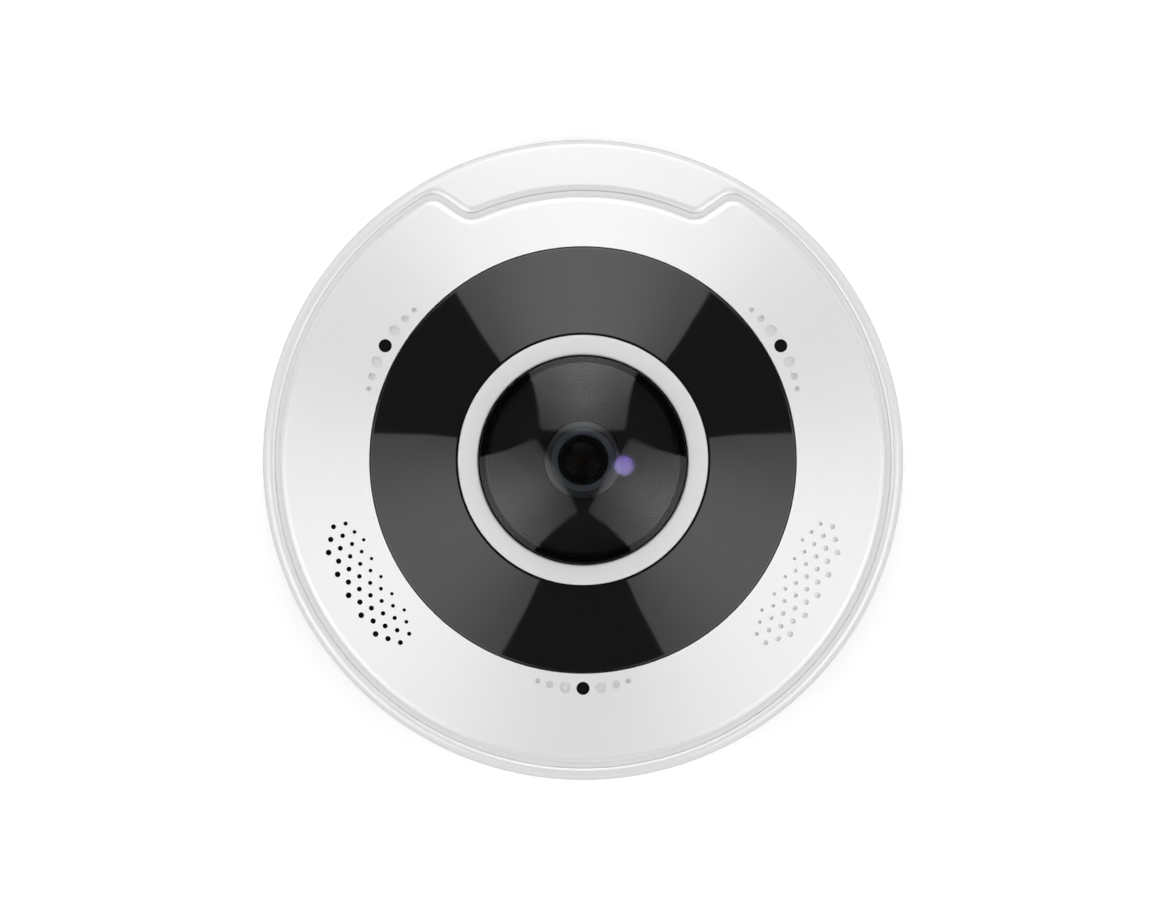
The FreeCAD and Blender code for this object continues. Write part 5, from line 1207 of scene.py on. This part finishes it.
@dataclass
class Studio:
    """A pale floor, three soft panels of light overhead and a long lens that looks straight down.

    Directions are given by the unit vector from the object: a panel is the part of the sky whose vector lies
    at least reach_in along the panel's azimuth and at most half_width to either side.
    """

    azimuths: Triple = (90.0, 210.0, 330.0)  # where the three panels stand
    reach_in: float = 0.374  # inner edge of a panel
    half_width: float = 0.53  # half the width of a panel
    softness: float = 0.0015  # half the width of a soft edge
    panel_level: float = 3.15  # brightness of a panel
    panel_shares: Triple = (1.1, 0.95, 0.95)  # what each panel has of that
    side_loss: float = 0.42  # share of the brightness that is lost at a panel's sides
    # Places from the inner edge of a panel to the horizon, and the share of the brightness there.
    profile: tuple[Pair, ...] = (
        (0.374, 0.45), (0.47, 0.62), (0.62, 0.73), (0.76, 0.92), (0.88, 0.96), (0.96, 0.98), (1.0, 0.9))
    gap_level: float = 0.05  # brightness of the studio between the panels
    horizon: float = 0.02  # height in the sky where the white below ends
    lamp_azimuth: float = -7.4  # direction of the small violet lamp that the dome mirrors
    lamp_tilt: float = 32.9  # angle of that lamp from straight above
    lamp_width: float = 18.5  # width of that lamp as seen from the object
    lamp_distance: float = 0.6  # in metres
    lamp_watts: float = 1.2
    lamp_fade: Pair = (0.26, 0.5)  # where its light fades out, in widths of the lamp from its middle
    lamp_tones: tuple[str, str] = ("#C5B6FF", "#8461E2")  # from one side to the other
    image: tuple[int, int] = (1170, 904)
    pixel_mm: float = 0.2574  # real size of one pixel at the object
    object_at: Pair = (583.0, 460.0)  # the pixel where the object's axis lies
    lens_mm: float = 500.0
    sensor_mm: float = 36.0
    clip_end: float = 50.0  # how far the camera sees, in metres
    floor_radius: float = 7.0  # in metres
    floor_window: float = 0.079  # clear part that lets light reach the object's back, in metres
    floor_drop: float = 0.2  # below the object
    floor_tone: str = "#DADADA"
    floor_glow: float = 0.46  # what the floor gives off to the camera

    def light(self) -> None:
        """Make the world: three panels above, white at the horizon and below, white to the camera."""
        world = bpy.data.worlds.new("studio")
        bpy.context.scene.world = world
        world.use_nodes = True
        world.node_tree.nodes.clear()
        sky = Graph(world.node_tree)
        towards = sky.add("TexCoord").outputs["Generated"]
        total = self.gap_level
        for azimuth, share in zip(self.azimuths, self.panel_shares):
            total = sky.maths("ADD", total, self.panel(sky, towards, math.radians(azimuth), share))
        height = sky.add("SeparateXYZ", {"Vector": towards}).outputs["Z"]
        seen = sky.add("LightPath").outputs["Is Camera Ray"]
        level = sky.add("Mix", {0: self.edge(sky, height, self.horizon), 2: 1.0, 3: total}).outputs[0]
        strength = sky.add("Mix", {0: seen, 2: level, 3: 1.0}).outputs[0]
        studio = sky.add("Background", {"Strength": strength})
        sky.add("OutputWorld", {"Surface": studio.outputs[0]})
        LOG.info("world: %d panels", len(self.azimuths))

    def edge(self, sky: Graph, value: Socket, at: float) -> Socket:
        """Add a soft step, 0 below a value and 1 above it."""
        return sky.spread(value, 0.0, 1.0, (at - self.softness, at + self.softness))

    def panel(self, sky: Graph, towards: Socket, turn: float, share: float) -> Socket:
        """Add one soft panel, brightest along its middle line.

        Args:
            sky: The world's nodes.
            towards: The direction of the ray.
            turn: The panel's azimuth, in radians.
            share: The panel's share of the full brightness.

        Returns:
            The panel's brightness in that direction.
        """
        out = sky.vectors("DOT_PRODUCT", towards, (math.cos(turn), math.sin(turn), 0))
        side = sky.vectors("DOT_PRODUCT", towards, (-math.sin(turn), math.cos(turn), 0))
        wide = sky.maths("ABSOLUTE", side)
        inside = sky.maths("SUBTRACT", 1.0, self.edge(sky, wide, self.half_width))
        shape = sky.maths("MULTIPLY", self.edge(sky, out, self.reach_in), inside)
        ramp = sky.add("ValToRGB", {"Fac": out})
        ramp.color_ramp.interpolation = "EASE"
        stops = ramp.color_ramp.elements
        while len(stops) < len(self.profile):
            stops.new(1.0)
        for stop, (place, part) in zip(stops, self.profile):
            stop.position = place
            stop.color = (part, part, part, 1.0)
        full = self.panel_level * share
        across = sky.spread(wide, full, full * (1 - self.side_loss), (0.0, self.half_width), soft=True)
        return sky.maths("MULTIPLY", sky.maths("MULTIPLY", ramp.outputs["Color"], across), shape)

    def lamp(self) -> None:
        """Make the small violet lamp, which lights the dome alone and leaves its spot there."""
        spot = bpy.data.lights.new("violet_lamp", "AREA")
        spot.shape = "DISK"
        spot.size = 2 * self.lamp_distance * math.tan(math.radians(self.lamp_width / 2))
        spot.energy = self.lamp_watts
        spot.use_nodes = True
        glow = Graph(spot.node_tree)
        across = glow.add("NewGeometry").outputs["Parametric"]
        side = glow.add("SeparateXYZ", {"Vector": across}).outputs["X"]
        off = glow.vectors("DISTANCE", across, (0.5, 0.5, 0.0))
        glow.plug(spot.node_tree.nodes["Emission"], {
            "Color": glow.two_tone(side, *self.lamp_tones),
            "Strength": glow.spread(off, 1.0, 0.0, self.lamp_fade, soft=True),
        })
        lamp = placed("violet_lamp", spot)
        tilt, azimuth = math.radians(self.lamp_tilt), math.radians(self.lamp_azimuth)
        aside = math.sin(tilt)
        towards = Vector((aside * math.cos(azimuth), aside * math.sin(azimuth), math.cos(tilt)))
        lamp.location = Vector((0, 0, CAD_BOX[1].z)) + towards * self.lamp_distance
        lamp.rotation_euler = towards.to_track_quat("Z", "Y").to_euler()
        lamp.visible_camera = False
        lit = bpy.data.collections.new("lit_by_violet_lamp")
        lit.objects.link(bpy.data.objects["clear_dome"])
        lamp.light_linking.receiver_collection = lit

    def floor(self) -> None:
        """Make the pale floor, which shows white to the camera and keeps the object's shadow.

        It is clear from below, and under the object, where only the object's back faces it.
        """
        bpy.ops.object.select_all(action="DESELECT")
        bpy.ops.mesh.primitive_circle_add(vertices=64, radius=self.floor_radius, fill_type="NGON",
                                          location=(0, 0, CAD_BOX[0].z - self.floor_drop * MM))
        floor = bpy.context.object
        floor.name = "studio_floor"
        material = bpy.data.materials.new("pale_floor")
        material.use_nodes = True
        material.node_tree.nodes.clear()
        paint = Graph(material.node_tree)
        matt = paint.add("BsdfDiffuse", {"Color": linear(self.floor_tone)})
        path = paint.add("LightPath").outputs
        seen = paint.maths("MAXIMUM", path["Is Camera Ray"], path["Is Transmission Ray"])
        shine = paint.add("Emission", {"Strength": paint.maths("MULTIPLY", seen, self.floor_glow)})
        both = paint.add("AddShader", {0: matt.outputs[0], 1: shine.outputs[0]})
        here = paint.add("NewGeometry").outputs
        under = paint.maths("LESS_THAN", paint.vectors("LENGTH", here["Position"]), self.floor_window)
        clear = paint.maths("MAXIMUM", here["Backfacing"], under)
        nothing = paint.add("BsdfTransparent")
        mix = paint.add("MixShader", {0: clear, 1: both.outputs[0], 2: nothing.outputs[0]})
        paint.add("OutputMaterial", {"Surface": mix.outputs[0]})
        floor.data.materials.append(material)

    def camera(self) -> None:
        """Make the camera straight above the lens, framed as the photograph is."""
        data = bpy.data.cameras.new("camera")
        data.lens = self.lens_mm
        data.sensor_width = self.sensor_mm
        data.clip_end = self.clip_end
        eye = placed("camera", data)
        distance = self.image[0] * self.pixel_mm * MM * self.lens_mm / self.sensor_mm
        aside = (self.image[0] / 2 - self.object_at[0]) * self.pixel_mm * MM
        above = (self.object_at[1] - self.image[1] / 2) * self.pixel_mm * MM
        eye.location = Vector((aside, above, CAD_BOX[1].z + distance))
        bpy.context.scene.camera = eye


def main() -> None:
    """Dress and build each group in order, then set up the studio."""
    logging.basicConfig(level=logging.INFO, format="%(message)s")
    for group in (CeilingMount(), Housing(), FrontCover(), Lens(), Electronics(), Sound()):
        group.dress()
        group.build()
    studio = Studio()
    studio.light()
    studio.lamp()
    studio.floor()
    studio.camera()
    bpy.context.scene.view_settings.view_transform = "Standard"


if __name__ == "__main__":
    main()
